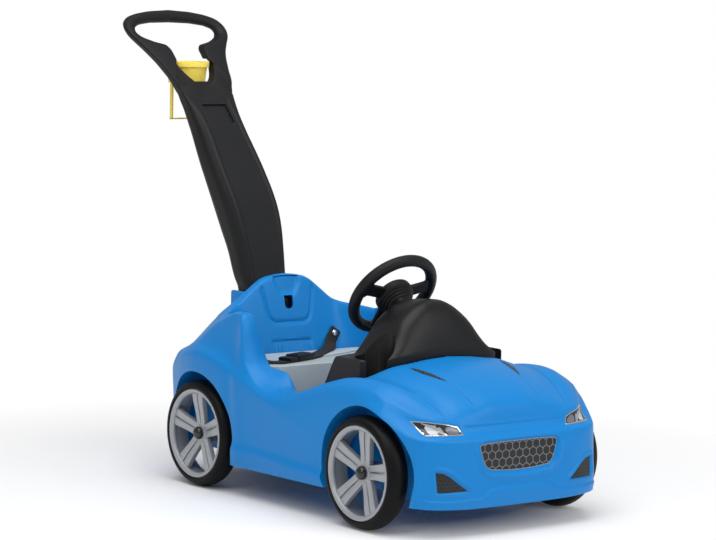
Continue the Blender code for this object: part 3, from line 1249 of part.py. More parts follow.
def main():
    """Build the whole car."""
    clear_scene()
    shell = build_body()
    build_latch(shell)
    build_panels(shell)
    build_belt(shell)
    build_axles()
    for place, y, sign in wheel_places():
        build_wheel(place, y, sign)
    build_handle()
    build_dash()
    build_steering()
    build_seat()
    build_holder()


main()
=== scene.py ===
"""Looks of a kids ride-on push car: blue moulded body, black dash and handle, grey wheels and seat.

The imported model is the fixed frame. Each sub-assembly is a class that builds finer pieces over it
with bmesh operators, and dresses them in procedural materials. Lengths are metres, +Z is up, the
bonnet faces -Y and the car's left side is +X.
"""
from __future__ import annotations

import logging
import math
from dataclasses import dataclass
from enum import Enum
from typing import Callable, Iterable, Sequence

import bmesh
import bpy
from mathutils import Matrix, Vector
from mathutils.bvhtree import BVHTree

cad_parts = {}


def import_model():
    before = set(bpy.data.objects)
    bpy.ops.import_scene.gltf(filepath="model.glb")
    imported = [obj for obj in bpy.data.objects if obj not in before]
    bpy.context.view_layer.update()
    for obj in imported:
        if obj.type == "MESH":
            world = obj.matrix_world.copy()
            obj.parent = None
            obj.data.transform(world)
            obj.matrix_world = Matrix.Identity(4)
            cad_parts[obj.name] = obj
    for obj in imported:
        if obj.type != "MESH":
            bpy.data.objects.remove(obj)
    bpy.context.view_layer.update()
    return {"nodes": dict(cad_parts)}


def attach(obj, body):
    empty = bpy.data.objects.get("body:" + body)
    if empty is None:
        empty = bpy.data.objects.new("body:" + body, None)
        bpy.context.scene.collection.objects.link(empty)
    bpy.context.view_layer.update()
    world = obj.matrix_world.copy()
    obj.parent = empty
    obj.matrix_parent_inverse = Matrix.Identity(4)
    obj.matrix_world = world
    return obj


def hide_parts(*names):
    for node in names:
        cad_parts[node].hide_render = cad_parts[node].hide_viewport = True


LOG = logging.getLogger("ride_on_car")

BMesh = bmesh.types.BMesh
Outline = list[tuple[float, float]]
Points = Sequence[tuple[float, float]]
Rows = list[list[Vector]]
Item = bpy.types.Object
Colour = tuple[float, float, float]

# The datum line for lengths along the car lies this far from the frame's origin
DATUM_Y = -0.45225
WHEEL_RADIUS = 0.1045
FRONT_AXLE = 0.0156
REAR_AXLE = 0.539
WHEEL_FACE_X = 0.25
PIVOT_Y = 0.655
PIVOT_Z = 0.2
STEERING_Y = 0.238
STEERING_Z = 0.396
STEERING_TILT = math.radians(53.8)
HOLDER_Y = 0.953
BORE_RADIUS = 0.0051
CUT_SOLVER = "MANIFOLD"
WELD = 0.00001


def car(x: float, y: float, z: float) -> Vector:
    """Return a point measured from the datum line as a point of the frame."""
    return Vector((x, y + DATUM_Y, z))


def mm(*lengths: float) -> Outline:
    """Return pairs of metres from a flat list of millimetres."""
    return [(round(a / 1000, 7), round(b / 1000, 7)) for a, b in zip(lengths[::2], lengths[1::2])]


def smooth_through(knots: Points, at: float) -> float:
    """Read a smooth curve that passes through knots and never overshoots them.

    Args:
        knots: Pairs of a station and the value there, with rising stations.
        at: The station to read.

    Returns:
        The value at that station, held constant beyond both ends.
    """
    if at <= knots[0][0]:
        return knots[0][1]
    if at >= knots[-1][0]:
        return knots[-1][1]
    count = len(knots)
    step = [knots[i + 1][0] - knots[i][0] for i in range(count - 1)]
    slope = [(knots[i + 1][1] - knots[i][1]) / step[i] for i in range(count - 1)]
    tangent = [slope[0]] + [0.0] * (count - 2) + [slope[-1]]
    for i in range(1, count - 1):
        if slope[i - 1] * slope[i] > 0:
            a = 2 * step[i] + step[i - 1]
            b = step[i] + 2 * step[i - 1]
            tangent[i] = (a + b) / (a / slope[i - 1] + b / slope[i])
    i = max(k for k in range(count - 1) if knots[k][0] <= at)
    h = step[i]
    t = (at - knots[i][0]) / h
    return (knots[i][1] * (1 + 2 * t) * (1 - t) ** 2 + h * tangent[i] * t * (1 - t) ** 2
            + knots[i + 1][1] * t * t * (3 - 2 * t) + h * tangent[i + 1] * t * t * (t - 1))


def ease(low: float, high: float, at: float) -> float:
    """Return 0 below low, 1 above high, and a smooth step between them."""
    t = min(1.0, max(0.0, (at - low) / (high - low)))
    return t * t * (3 - 2 * t)


def bump(centre: float, width: float, at: float) -> float:
    """Return a soft hump of height 1 at centre that ends a width away on each side."""
    t = min(1.0, abs(at - centre) / width)
    return (1 - t * t) ** 2


def refined(points: Sequence[Vector], cuts: int) -> list[Vector]:
    """Return points of a smooth line through the given ones.

    Args:
        points: The line's own points, in order.
        cuts: How many steps each stretch is divided into.

    Returns:
        The finer line, which keeps the given points.
    """
    stations = [0.0]
    for a, b in zip(points[:-1], points[1:]):
        stations.append(stations[-1] + max((b - a).length, 0.0001))
    curves = [tuple(zip(stations, (p[axis] for p in points))) for axis in range(3)]
    result: list[Vector] = []
    for i in range(len(points) - 1):
        for k in range(cuts):
            at = stations[i] + (stations[i + 1] - stations[i]) * k / cuts
            result.append(Vector([smooth_through(curve, at) for curve in curves]))
    result.append(points[-1].copy())
    return result


def away_from(outline: Points, x: float, y: float) -> float:
    """Return the distance of a point from an outline.

    Args:
        outline: The closed outline's corners.
        x: The point's first measure.
        y: Its second.

    Returns:
        The distance, negative inside the outline.
    """
    nearest = 1e9
    inside = False
    count = len(outline)
    for i in range(count):
        ax, ay = outline[i - 1]
        bx, by = outline[i]
        dx, dy = bx - ax, by - ay
        t = max(0.0, min(1.0, ((x - ax) * dx + (y - ay) * dy) / (dx * dx + dy * dy)))
        nearest = min(nearest, math.hypot(x - ax - t * dx, y - ay - t * dy))
        if (ay > y) != (by > y) and x < ax + (y - ay) / (by - ay) * dx:
            inside = not inside
    return -nearest if inside else nearest


# Shader maths and finishes

class Field:
    """A shader socket that adds Math nodes when it is used in an expression."""

    def __init__(self, recipe: Recipe, socket: bpy.types.NodeSocket) -> None:
        """Wrap one output socket of a recipe's material."""
        self.recipe = recipe
        self.socket = socket

    def _with(self, operation: str, *others: Field | float) -> Field:
        """Return the result of one Math operation."""
        return self.recipe.maths(operation, self, *others)

    def __add__(self, other: Field | float) -> Field:
        """Return the sum."""
        return self._with("ADD", other)

    __radd__ = __add__

    def __sub__(self, other: Field | float) -> Field:
        """Return the difference."""
        return self._with("SUBTRACT", other)

    def __rsub__(self, other: float) -> Field:
        """Return the difference from a number."""
        return self.recipe.maths("SUBTRACT", other, self)

    def __mul__(self, other: Field | float) -> Field:
        """Return the product."""
        return self._with("MULTIPLY", other)

    __rmul__ = __mul__

    def __truediv__(self, other: Field | float) -> Field:
        """Return the quotient."""
        return self._with("DIVIDE", other)

    def __pow__(self, other: float) -> Field:
        """Return the power."""
        return self._with("POWER", other)

    def __abs__(self) -> Field:
        """Return the size without its sign."""
        return self._with("ABSOLUTE")

    def above(self, limit: Field | float) -> Field:
        """Return 1 where the value is above a limit, 0 elsewhere."""
        return self._with("GREATER_THAN", limit)

    def least(self, other: Field | float) -> Field:
        """Return the smaller of two values."""
        return self._with("MINIMUM", other)

    def most(self, other: Field | float) -> Field:
        """Return the larger of two values."""
        return self._with("MAXIMUM", other)


class Recipe:
    """One material or world under construction: its shader and the nodes that feed it."""

    def __init__(self, name: str, store: str = "materials", shader: str = "Principled BSDF") -> None:
        """Start a node material or world.

        Args:
            name: Its name.
            store: Where Blender keeps it.
            shader: The name of the shader node that it starts with.
        """
        self.material = getattr(bpy.data, store).new(name)
        self.material.use_nodes = True
        self.tree = self.material.node_tree
        self.shader = self.tree.nodes[shader]

    def node(self, kind: str, settings: dict[str, object] | None = None,
             **sockets: object) -> bpy.types.Node:
        """Add one node.

        Args:
            kind: The node's type, such as ShaderNodeTexNoise.
            settings: Its properties, set before its sockets.
            **sockets: Values or links by socket name, with spaces as underscores.

        Returns:
            The new node.
        """
        made = self.tree.nodes.new(kind)
        for key, value in (settings or {}).items():
            setattr(made, key, value)
        for key, value in sockets.items():
            self.feed(made, key.replace("_", " "), value)
        return made

    def feed(self, target: bpy.types.Node, name: str, value: object) -> None:
        """Link or set one input socket of a node.

        Args:
            target: The node.
            name: The socket's name, or its number.
            value: What it gets: a field, a socket to link, or a plain value.
        """
        socket = target.inputs[int(name)] if name.isdigit() else target.inputs[name]
        if isinstance(value, Field):
            self.tree.links.new(value.socket, socket)
        elif isinstance(value, bpy.types.NodeSocket):
            self.tree.links.new(value, socket)
        elif isinstance(value, tuple) and len(value) == 3 and len(socket.default_value) == 4:
            socket.default_value = (*value, 1.0)
        else:
            socket.default_value = value

    def maths(self, operation: str, *values: Field | float) -> Field:
        """Return the result of a Math node on fields and numbers."""
        made = self.node("ShaderNodeMath", {"operation": operation},
                         **{str(i): value for i, value in enumerate(values)})
        return Field(self, made.outputs[0])

    def place(self) -> bpy.types.NodeSocket:
        """Return the piece's Object coordinates."""
        return self.node("ShaderNodeTexCoord").outputs["Object"]

    def axes(self) -> tuple[Field, Field, Field]:
        """Return Object coordinates as three fields."""
        split = self.node("ShaderNodeSeparateXYZ", Vector=self.place())
        return tuple(Field(self, split.outputs[i]) for i in range(3))

    def noise(self, scale: float, detail: float = 3.0, roughness: float = 0.5) -> Field:
        """Return a noise field on Object coordinates."""
        return Field(self, self.node("ShaderNodeTexNoise", Vector=self.place(), Scale=scale, Detail=detail,
                                     Roughness=roughness).outputs["Fac"])

    def mix(self, share: Field | float, first: object, second: object) -> bpy.types.NodeSocket:
        """Return a colour between two colours."""
        made = self.node("ShaderNodeMix", {"data_type": "RGBA"}, **{"0": share, "6": first, "7": second})
        return made.outputs[2]

    def shape(self, height: Field, depth: float) -> None:
        """Feed the shader's normal with a bump of this height field, in metres of depth."""
        made = self.node("ShaderNodeBump", Height=height, Distance=depth)
        self.feed(self.shader, "Normal", made.outputs["Normal"])

    def surface(self, colour: object, roughness: object, metallic: float = 0.0,
                coat: float = 0.0, glance: float = 0.5) -> bpy.types.Material:
        """Set the shader's main sockets.

        Args:
            colour: The base colour.
            roughness: How dull the surface is.
            metallic: How much it is a metal.
            coat: How much clear coat lies on it.
            glance: How strongly it reflects where it is looked at straight.

        Returns:
            The finished material.
        """
        for name, value in (("Base Color", colour), ("Roughness", roughness), ("Metallic", metallic),
                            ("Coat Weight", coat)):
            self.feed(self.shader, name, value)
        self.shader.inputs["Coat Roughness"].default_value = 0.12
        self.shader.inputs["Specular IOR Level"].default_value = glance
        return self.material

    def fade_to_white(self, near: float, far: float) -> None:
        """Let the surface show as plain white far out, to the camera, in gloss and through glass.

        Args:
            near: The radius within which it stays as it is.
            far: The radius beyond which it is white.
        """
        x, y, _ = self.axes()
        path = self.node("ShaderNodeLightPath").outputs
        seen = Field(self, path["Is Camera Ray"]).most(Field(self, path["Is Glossy Ray"]))
        seen = seen.most(Field(self, path["Is Transmission Ray"]))
        share = (((x * x + y * y) ** 0.5 - near) / (far - near)).most(0.0).least(1.0)
        white = self.node("ShaderNodeEmission", None, Color=(1.0, 1.0, 1.0), Strength=1.0)
        both = self.blend(share * seen, self.shader, white)
        self.feed(self.tree.nodes["Material Output"], "Surface", both)

    def blend(self, share: Field, first: bpy.types.Node, second: bpy.types.Node) -> bpy.types.NodeSocket:
        """Return a shader between two shaders."""
        return self.node("ShaderNodeMixShader", None, **{"0": share, "1": first.outputs[0],
                                                         "2": second.outputs[0]}).outputs[0]


@dataclass(frozen=True)
class Moulded:
    """Moulded plastic: a slightly uneven colour, a fine texture and soft swirls in its gloss."""

    name: str
    colour: Colour
    roughness: float
    shift: float = 0.06
    grain: float = 900.0
    grain_depth: float = 0.00006
    coat: float = 0.0
    glance: float = 0.5
    metal: float = 0.0

    def make(self) -> bpy.types.Material:
        """Make the finish.

        Returns:
            The material.
        """
        recipe = Recipe(self.name)
        cloud = recipe.noise(7.0, 2.0)
        fine = recipe.noise(self.grain, 2.0, 0.6)
        low = tuple(c * (1 - self.shift) for c in self.colour)
        high = tuple(min(1.0, c * (1 + self.shift)) for c in self.colour)
        recipe.shape(fine, self.grain_depth)
        rough = cloud * 0.1 + fine * 0.05 + (self.roughness - 0.075)
        return recipe.surface(recipe.mix(cloud, low, high), rough, self.metal, self.coat, self.glance)


@dataclass(frozen=True)
class BodyBlue(Moulded):
    """The body's blue plastic, with the bonnet's seam lines pressed into it."""

    def make(self) -> bpy.types.Material:
        """Make the finish.

        Returns:
            The material.
        """
        recipe = Recipe(self.name)
        x, y, z = recipe.axes()
        cloud = recipe.noise(5.0, 2.0)
        fine = recipe.noise(self.grain, 2.0, 0.6)
        across = abs(x)
        along = y - DATUM_Y
        inner = 0.0865 + along * 0.05
        outer = 0.1707 + along * 0.23
        seams = self._line(recipe, across, inner, along, -0.118, -0.033)
        seams = seams.most(self._line(recipe, across, outer, along, -0.11, 0.048))
        upper = z.above(0.205)
        low = tuple(c * (1 - self.shift) for c in self.colour)
        high = tuple(min(1.0, c * (1 + self.shift)) for c in self.colour)
        recipe.shape(fine * (self.grain_depth / 0.0012) + seams * upper * -1.0, 0.0012)
        rough = cloud * 0.1 + (self.roughness - 0.05)
        return recipe.surface(recipe.mix(cloud, low, high), rough, 0.0, self.coat, self.glance)

    def _line(self, recipe: Recipe, across: Field, path: Field, along: Field, front: float,
              rear: float) -> Field:
        """Return the groove of one seam, faded at both ends.

        Args:
            recipe: The material.
            across: The distance from the centre plane.
            path: Where the seam runs, measured in the same way.
            along: The place along the car.
            front: Where the seam begins.
            rear: Where it ends.

        Returns:
            1 in the middle of the groove, 0 beside it.
        """
        near = (1.0 - abs(across - path) / 0.0022).most(0.0)
        begin = ((along - front) / 0.012).most(0.0).least(1.0)
        end = ((rear - along) / 0.012).most(0.0).least(1.0)
        return near * (begin * end)


@dataclass(frozen=True)
class Metal:
    """Plain bright steel with faint turning marks."""

    name: str
    colour: Colour
    roughness: float

    def make(self) -> bpy.types.Material:
        """Make the finish.

        Returns:
            The material.
        """
        recipe = Recipe(self.name)
        cloud = recipe.noise(60.0, 4.0)
        fine = recipe.noise(1800.0, 1.0)
        low = tuple(c * 0.86 for c in self.colour)
        recipe.shape(fine, 0.00003)
        rough = cloud * 0.16 + (self.roughness - 0.08)
        return recipe.surface(recipe.mix(cloud, low, self.colour), rough, 1.0)


@dataclass(frozen=True)
class Webbing:
    """Woven strap: crossing ribs on the strap's own UV map."""

    name: str
    colour: Colour

    def make(self) -> bpy.types.Material:
        """Make the finish.

        Returns:
            The material.
        """
        recipe = Recipe(self.name)
        split = recipe.node("ShaderNodeSeparateXYZ", Vector=recipe.node("ShaderNodeUVMap").outputs["UV"])
        along, across = Field(recipe, split.outputs[0]), Field(recipe, split.outputs[1])
        ribs = recipe.maths("SINE", along * 3600.0) * 0.5 + 0.5
        warp = recipe.maths("SINE", across * 6200.0) * 0.5 + 0.5
        weave = ribs * 0.7 + warp * 0.5
        recipe.shape(weave, 0.0003)
        low = tuple(c * 0.55 for c in self.colour)
        return recipe.surface(recipe.mix(weave, low, self.colour), 0.82)


@dataclass(frozen=True)
class Honeycomb:
    """A black panel with a net of light hexagon outlines, laid out across X and Z."""

    name: str
    pitch: float
    line: float
    line_colour: Colour
    cell_colour: Colour
    centre_z: float = 0.0

    def make(self) -> bpy.types.Material:
        """Make the finish.

        Returns:
            The material.
        """
        recipe = Recipe(self.name)
        x, _, z = recipe.axes()
        wide, tall = self.pitch, self.pitch * math.sqrt(3)
        first = self._cell(recipe, x, z - self.centre_z, wide, tall, 0.0)
        second = self._cell(recipe, x, z - self.centre_z, wide, tall, 0.5)
        edge = first.least(second)
        line = (edge - (self.pitch / 2 - self.line)).most(0.0) / self.line
        line = line.least(1.0)
        dots = recipe.noise(1500.0, 1.0)
        recipe.shape(line + dots * 0.08, 0.0008)
        cell = tuple(c * 0.5 for c in self.cell_colour)
        base = recipe.mix(dots, cell, self.cell_colour)
        return recipe.surface(recipe.mix(line, base, self.line_colour), line * -0.12 + 0.45)

    def _cell(self, recipe: Recipe, x: Field, z: Field, wide: float, tall: float, half: float) -> Field:
        """Return the hexagon distance from the nearest cell centre of one of the two lattices."""
        a, b = (abs(recipe.maths("FLOORED_MODULO", at + pitch * (half + 40.5), pitch) - pitch / 2)
                for at, pitch in ((x, wide), (z, tall)))
        return a.most(a * 0.5 + b * 0.8660254)


@dataclass(frozen=True)
class Louvres:
    """A dark vent panel with slanting bars, with painted shade in the grooves between them."""

    name: str
    colour: Colour

    def make(self) -> bpy.types.Material:
        """Make the finish.

        Returns:
            The material.
        """
        recipe = Recipe(self.name)
        x, y, _ = recipe.axes()
        bars = recipe.maths("SINE", (y + abs(x) * 1.2) * 820.0) * 0.5 + 0.5
        fine = recipe.noise(900.0, 2.0)
        recipe.shape(bars + fine * 0.1, 0.0012)
        # Painted shade: the colour darkens where the bump dips, in the grooves between the bars.
        low = tuple(c * 0.35 for c in self.colour)
        return recipe.surface(recipe.mix(bars, low, self.colour), fine * 0.1 + 0.4)


class Finish(Enum):
    """Every finish on the car."""

    BODY = BodyBlue("body_blue", (0.0033, 0.212, 0.585), 0.38, 0.05, 700.0, 0.00005, 0.0, 0.24)
    BLACK = Moulded("handle_black", (0.0095, 0.0098, 0.0105), 0.5, 0.12, 620.0, 0.00026, 0.0, 0.22)
    DASH = Moulded("dash_black", (0.007, 0.0071, 0.0076), 0.4, 0.1, 900.0, 0.00007, 0.0, 0.26)
    GLOSS = Moulded("cap_black", (0.006, 0.006, 0.0065), 0.22, 0.05, 400.0, 0.00003, 0.3)
    TYRE = Moulded("tyre_black", (0.0032, 0.0033, 0.0035), 0.46, 0.15, 500.0, 0.00016, 0.0, 0.14)
    RIM = Moulded("rim_grey", (0.365, 0.378, 0.396), 0.34, 0.06, 700.0, 0.00006, 0.0, 0.45, 0.25)
    SEAT = Moulded("seat_grey", (0.46, 0.52, 0.54), 0.42, 0.05, 700.0, 0.00008)
    YELLOW = Moulded("holder_yellow", (0.96, 0.74, 0.11), 0.36, 0.05, 700.0, 0.00005)
    DARK = Moulded("bush_grey", (0.03, 0.03, 0.032), 0.45, 0.08, 700.0, 0.00006)
    STEEL = Metal("zinc_steel", (0.62, 0.62, 0.63), 0.3)
    CHROME = Metal("lamp_chrome", (0.86, 0.88, 0.9), 0.14)
    LENS = Moulded("lamp_lens", (0.52, 0.56, 0.6), 0.12, 0.25, 90.0, 0.0003, 0.6)
    BED = Moulded("lamp_bed", (0.01, 0.011, 0.013), 0.2, 0.2, 300.0, 0.00006, 0.4)
    SMOKE = Moulded("lamp_smoke", (0.15, 0.162, 0.175), 0.14, 0.25, 90.0, 0.0003, 0.6)
    TRIM = Moulded("trim_pale", (0.3, 0.305, 0.315), 0.35, 0.05, 700.0, 0.00004)
    STRAP = Webbing("belt_webbing", (0.013, 0.013, 0.014))
    GRILLE = Honeycomb("grille_net", 0.0162, 0.0012, (0.26, 0.265, 0.27), (0.0095, 0.0095, 0.01), 0.144)
    FOG = Honeycomb("fog_net", 0.0078, 0.0006, (0.042, 0.043, 0.045), (0.008, 0.008, 0.0085), 0.1)
    VENT = Louvres("vent_bars", (0.06, 0.062, 0.066))


_MADE: dict[Finish, bpy.types.Material] = {}


def dress(item: Item, finish: Finish) -> Item:
    """Give a piece its finish, which is made the first time it is used.

    Args:
        item: The piece.
        finish: The finish.

    Returns:
        The piece.
    """
    if finish not in _MADE:
        _MADE[finish] = finish.value.make()
    item.data.materials.clear()
    item.data.materials.append(_MADE[finish])
    return item


# Mesh helpers

def finished(name: str, bm: BMesh, finish: Finish, sharp: float = 35.0) -> Item:
    """Turn a bmesh into a dressed, smooth-shaded piece.

    Args:
        name: The piece's name.
        bm: Its mesh, which is freed.
        finish: Its finish.
        sharp: The angle in degrees above which an edge stays sharp.

    Returns:
        The new object, at the frame's origin.
    """
    mesh = bpy.data.meshes.new(name)
    bm.to_mesh(mesh)
    bm.free()
    item = bpy.data.objects.new(name, mesh)
    bpy.context.scene.collection.objects.link(item)
    mesh.shade_smooth()
    mesh.set_sharp_from_angle(angle=math.radians(sharp))
    return dress(item, finish)


def modified(item: Item, sharp: float = 35.0) -> Item:
    """Apply a piece's modifiers to its mesh.

    Args:
        item: The piece.
        sharp: The angle in degrees above which an edge stays sharp.

    Returns:
        The piece.
    """
    graph = bpy.context.evaluated_depsgraph_get()
    mesh = bpy.data.meshes.new_from_object(item.evaluated_get(graph))
    old = item.data
    item.modifiers.clear()
    item.data = mesh
    bpy.data.meshes.remove(old)
    mesh.shade_smooth()
    mesh.set_sharp_from_angle(angle=math.radians(sharp))
    return item


def combine(item: Item, other: Item, operation: str) -> None:
    """Apply a Boolean of a piece with another object.

    Args:
        item: The piece, which is changed.
        other: The other object.
        operation: The Boolean's operation.
    """
    step = item.modifiers.new("Cut", "BOOLEAN")
    step.operation = operation
    step.solver = CUT_SOLVER
    step.object = other
    modified(item)


def cut(item: Item, tool: BMesh, operation: str = "DIFFERENCE") -> None:
    """Combine a piece with a tool mesh.

    Args:
        item: The piece, which is changed.
        tool: The tool mesh, which is freed.
        operation: The Boolean's operation.
    """
    mesh = bpy.data.meshes.new("tool")
    tool.to_mesh(mesh)
    tool.free()
    other = bpy.data.objects.new("tool", mesh)
    bpy.context.scene.collection.objects.link(other)
    combine(item, other, operation)
    bpy.data.objects.remove(other, do_unlink=True)
    bpy.data.meshes.remove(mesh)


def inside(tool: BMesh, solid: Item) -> BMesh:
    """Keep the part of a tool mesh that lies inside a solid.

    Args:
        tool: The tool mesh, which is freed.
        solid: The solid.

    Returns:
        The part of the tool inside it.
    """
    item = finished("tool_inside", tool, Finish.BODY)
    combine(item, solid, "INTERSECT")
    bm = bmesh.new()
    bm.from_mesh(item.data)
    bpy.data.objects.remove(item, do_unlink=True)
    return bm


def doubled(bm: BMesh) -> None:
    """Add the right half to a mesh of the left half."""
    bmesh.ops.mirror(bm, geom=all_of(bm), axis="X", merge_dist=0.0002)


def face_outwards(bm: BMesh, top: Vector) -> None:
    """Turn a skin's faces outwards.

    Args:
        bm: The skin.
        top: A place near a face that has to look up.
    """
    bmesh.ops.recalc_face_normals(bm, faces=bm.faces)
    upper = min(bm.faces, key=lambda f: (f.calc_center_median() - top).length)
    if upper.normal.z < 0:
        bmesh.ops.reverse_faces(bm, faces=bm.faces)


def sheet_of(rows: Rows) -> BMesh:
    """Lay a grid of faces through rows of points.

    Args:
        rows: The rows, all of one length.

    Returns:
        The open surface.
    """
    bm = bmesh.new()
    wide, tall = len(rows[0]), len(rows)
    bmesh.ops.create_grid(bm, x_segments=wide - 1, y_segments=tall - 1, size=1.0)
    verts = sorted(bm.verts, key=lambda v: (round(v.co.y, 5), round(v.co.x, 5)))
    for index, vert in enumerate(verts):
        vert.co = rows[index // wide][index % wide]
    return bm


def joined(*parts: BMesh) -> BMesh:
    """Join meshes into one.

    Args:
        *parts: The meshes, which are freed.

    Returns:
        The whole.
    """
    whole = bmesh.new()
    for part in parts:
        mesh = bpy.data.meshes.new("part")
        part.to_mesh(mesh)
        part.free()
        whole.from_mesh(mesh)
        bpy.data.meshes.remove(mesh)
    return whole


def rod(radius: float, start: Vector, end: Vector, steps: int = 48) -> BMesh:
    """Return a closed cylinder.

    Args:
        radius: Its radius.
        start: The middle of one end.
        end: The middle of the other.
        steps: How many sides it has.

    Returns:
        Its mesh.
    """
    bm = bmesh.new()
    axis = end - start
    turn = axis.to_track_quat("Z", "Y").to_matrix().to_4x4()
    bmesh.ops.create_cone(bm, cap_ends=True, segments=steps, radius1=radius, radius2=radius,
                          depth=axis.length, matrix=Matrix.Translation((start + end) / 2) @ turn)
    return bm


def brick(low: Vector, high: Vector, round_by: float = 0.0, steps: int = 3) -> BMesh:
    """Return a box.

    Args:
        low: Its lowest corner.
        high: Its highest corner.
        round_by: How far its edges are rounded.
        steps: How many faces round an edge.

    Returns:
        Its mesh.
    """
    bm = bmesh.new()
    size = high - low
    bmesh.ops.create_cube(bm, size=1.0, matrix=Matrix.Translation((low + high) / 2)
                          @ Matrix.Diagonal((*size, 1)))
    if round_by:
        soften(bm, bm.edges[:], round_by, steps)
    return bm


def closed(bm: BMesh) -> BMesh:
    """Merge a mesh's doubles and turn its faces outwards.

    Args:
        bm: The mesh.

    Returns:
        The same mesh.
    """
    bmesh.ops.remove_doubles(bm, verts=bm.verts, dist=WELD)
    bmesh.ops.recalc_face_normals(bm, faces=bm.faces)
    return bm


def all_of(bm: BMesh) -> list[object]:
    """Return everything in a mesh, for an operator that takes geometry."""
    return bm.verts[:] + bm.edges[:] + bm.faces[:]


def turned(bm: BMesh, angle: float) -> BMesh:
    """Turn a mesh about local Z by an angle in radians and return it."""
    bmesh.ops.rotate(bm, cent=(0, 0, 0), matrix=Matrix.Rotation(angle, 3, "Z"), verts=bm.verts)
    return bm


def long_edges(bm: BMesh, least: float) -> list[bmesh.types.BMEdge]:
    """Return the edges that reach further than this along local X."""
    return [e for e in bm.edges if abs(e.verts[0].co.x - e.verts[1].co.x) > least]


def soften(bm: BMesh, edges: Iterable[bmesh.types.BMEdge], width: float, steps: int = 3) -> None:
    """Round these edges."""
    bmesh.ops.bevel(bm, geom=list(edges), offset=width, offset_type="OFFSET", affect="EDGES",
                    segments=steps, profile=0.5, clamp_overlap=True, material=-1)


def lathe(profile: Points, steps: int = 96) -> BMesh:
    """Return a solid turned about local Z from a closed (radius, height) profile.

    Args:
        profile: The closed outline's corners.
        steps: How many steps the full turn has.

    Returns:
        The closed solid.
    """
    bm = bmesh.new()
    verts = [bm.verts.new((r, 0, h)) for r, h in profile]
    for i in range(len(verts)):
        if profile[i - 1][0] > 0 or profile[i][0] > 0:
            bm.edges.new((verts[i - 1], verts[i]))
    bmesh.ops.spin(bm, geom=bm.verts[:] + bm.edges[:], cent=(0, 0, 0), axis=(0, 0, 1),
                   angle=2 * math.pi, steps=steps, use_merge=True)
    return closed(bm)


def curved_profile(points: Points, radius: float, steps: int = 4) -> Outline:
    """Round the corners of a closed outline, but those on the centre plane.

    Args:
        points: The corners.
        radius: How far from a corner its curve begins.
        steps: How many steps the curve has.

    Returns:
        The rounded outline.
    """
    result: Outline = []
    count = len(points)
    for i, corner in enumerate(points):
        here = Vector(corner)
        if here.x == 0:
            result.append(tuple(here))
            continue
        before, after = Vector(points[i - 1]), Vector(points[(i + 1) % count])
        start = here + (before - here).normalized() * min(radius, (before - here).length * 0.45)
        end = here + (after - here).normalized() * min(radius, (after - here).length * 0.45)
        for k in range(steps + 1):
            t = k / steps
            result.append(tuple(start * (1 - t) ** 2 + here * 2 * t * (1 - t) + end * t * t))
    return result


def slab(outline: Points, low: float, high: float, axis: str) -> BMesh:
    """Extrude an outline along an axis.

    Args:
        outline: The closed outline's corners, in the other two axes.
        low: The level where it starts.
        high: The level where it ends.
        axis: The axis, X, Y or Z.

    Returns:
        The solid.
    """
    bm = bmesh.new()
    spots = {"Z": [(a, b, low) for a, b in outline], "Y": [(a, low, b) for a, b in outline],
             "X": [(low, a, b) for a, b in outline]}[axis]
    face = bm.faces.new([bm.verts.new(spot) for spot in spots])
    grown = bmesh.ops.extrude_face_region(bm, geom=[face])["geom"]
    way = {"X": (1, 0, 0), "Y": (0, 1, 0), "Z": (0, 0, 1)}[axis]
    bmesh.ops.translate(bm, vec=Vector(way) * (high - low),
                        verts=[v for v in grown if isinstance(v, bmesh.types.BMVert)])
    bmesh.ops.recalc_face_normals(bm, faces=bm.faces)
    return bm


def moved(bm: BMesh, matrix: Matrix) -> BMesh:
    """Place a bmesh by a matrix and return it."""
    bmesh.ops.transform(bm, matrix=matrix, verts=bm.verts)
    return bm


def both_sides(points: Points) -> Outline:
    """Close a half outline with its mirror image."""
    return list(points) + [(-x, y) for x, y in reversed(points) if x > 0.00001]


def frame_on(origin: Vector, way: Vector) -> Matrix:
    """Return the placement whose local Z looks along a way."""
    return Matrix.Translation(origin) @ way.to_track_quat("Z", "Y").to_matrix().to_4x4()


def seat_piece(item: Item, body: str, slot: str, *nodes: str) -> Item:
    """Ride a piece on a body and let it stand for the CAD nodes.

    Args:
        item: The finished piece.
        body: The CAD body that it moves with.
        slot: Not used.
        *nodes: The CAD nodes that it stands for.

    Returns:
        The piece.
    """
    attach(item, body)
    if nodes:
        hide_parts(*nodes)
    LOG.info("%s: %d faces on %s", item.name, len(item.data.polygons), body)
    return item


def loft(rings: Rows, capped: bool = True) -> BMesh:
    """Bridge closed rings of points into a skin.

    Args:
        rings: The rings, all of one length.
        capped: Whether both ends are closed.

    Returns:
        The skin.
    """
    bm = bmesh.new()
    before: list[bmesh.types.BMEdge] = []
    for index, ring in enumerate(rings):
        verts = [bm.verts.new(point) for point in ring]
        edges = [bm.edges.new((verts[i - 1], verts[i])) for i in range(len(verts))]
        if before:
            bmesh.ops.bridge_loops(bm, edges=before + edges)
        if capped and index in (0, len(rings) - 1):
            bmesh.ops.contextual_create(bm, geom=edges)
        before = edges
    bmesh.ops.recalc_face_normals(bm, faces=bm.faces)
    return bm


def spaced(outline: Points, count: int) -> Outline:
    """Spread points evenly along a closed outline, keeping where it starts.

    Args:
        outline: The outline's corners.
        count: How many points it gets.

    Returns:
        The points.
    """
    ends = list(outline[1:]) + [outline[0]]
    lengths = [math.dist(a, b) for a, b in zip(outline, ends)]
    whole = sum(lengths)
    result: Outline = []
    index, walked = 0, 0.0
    for k in range(count):
        target = whole * k / count
        while walked + lengths[index] < target:
            walked += lengths[index]
            index += 1
        share = (target - walked) / lengths[index]
        a, b = outline[index], ends[index]
        result.append((a[0] + (b[0] - a[0]) * share, a[1] + (b[1] - a[1]) * share))
    return result


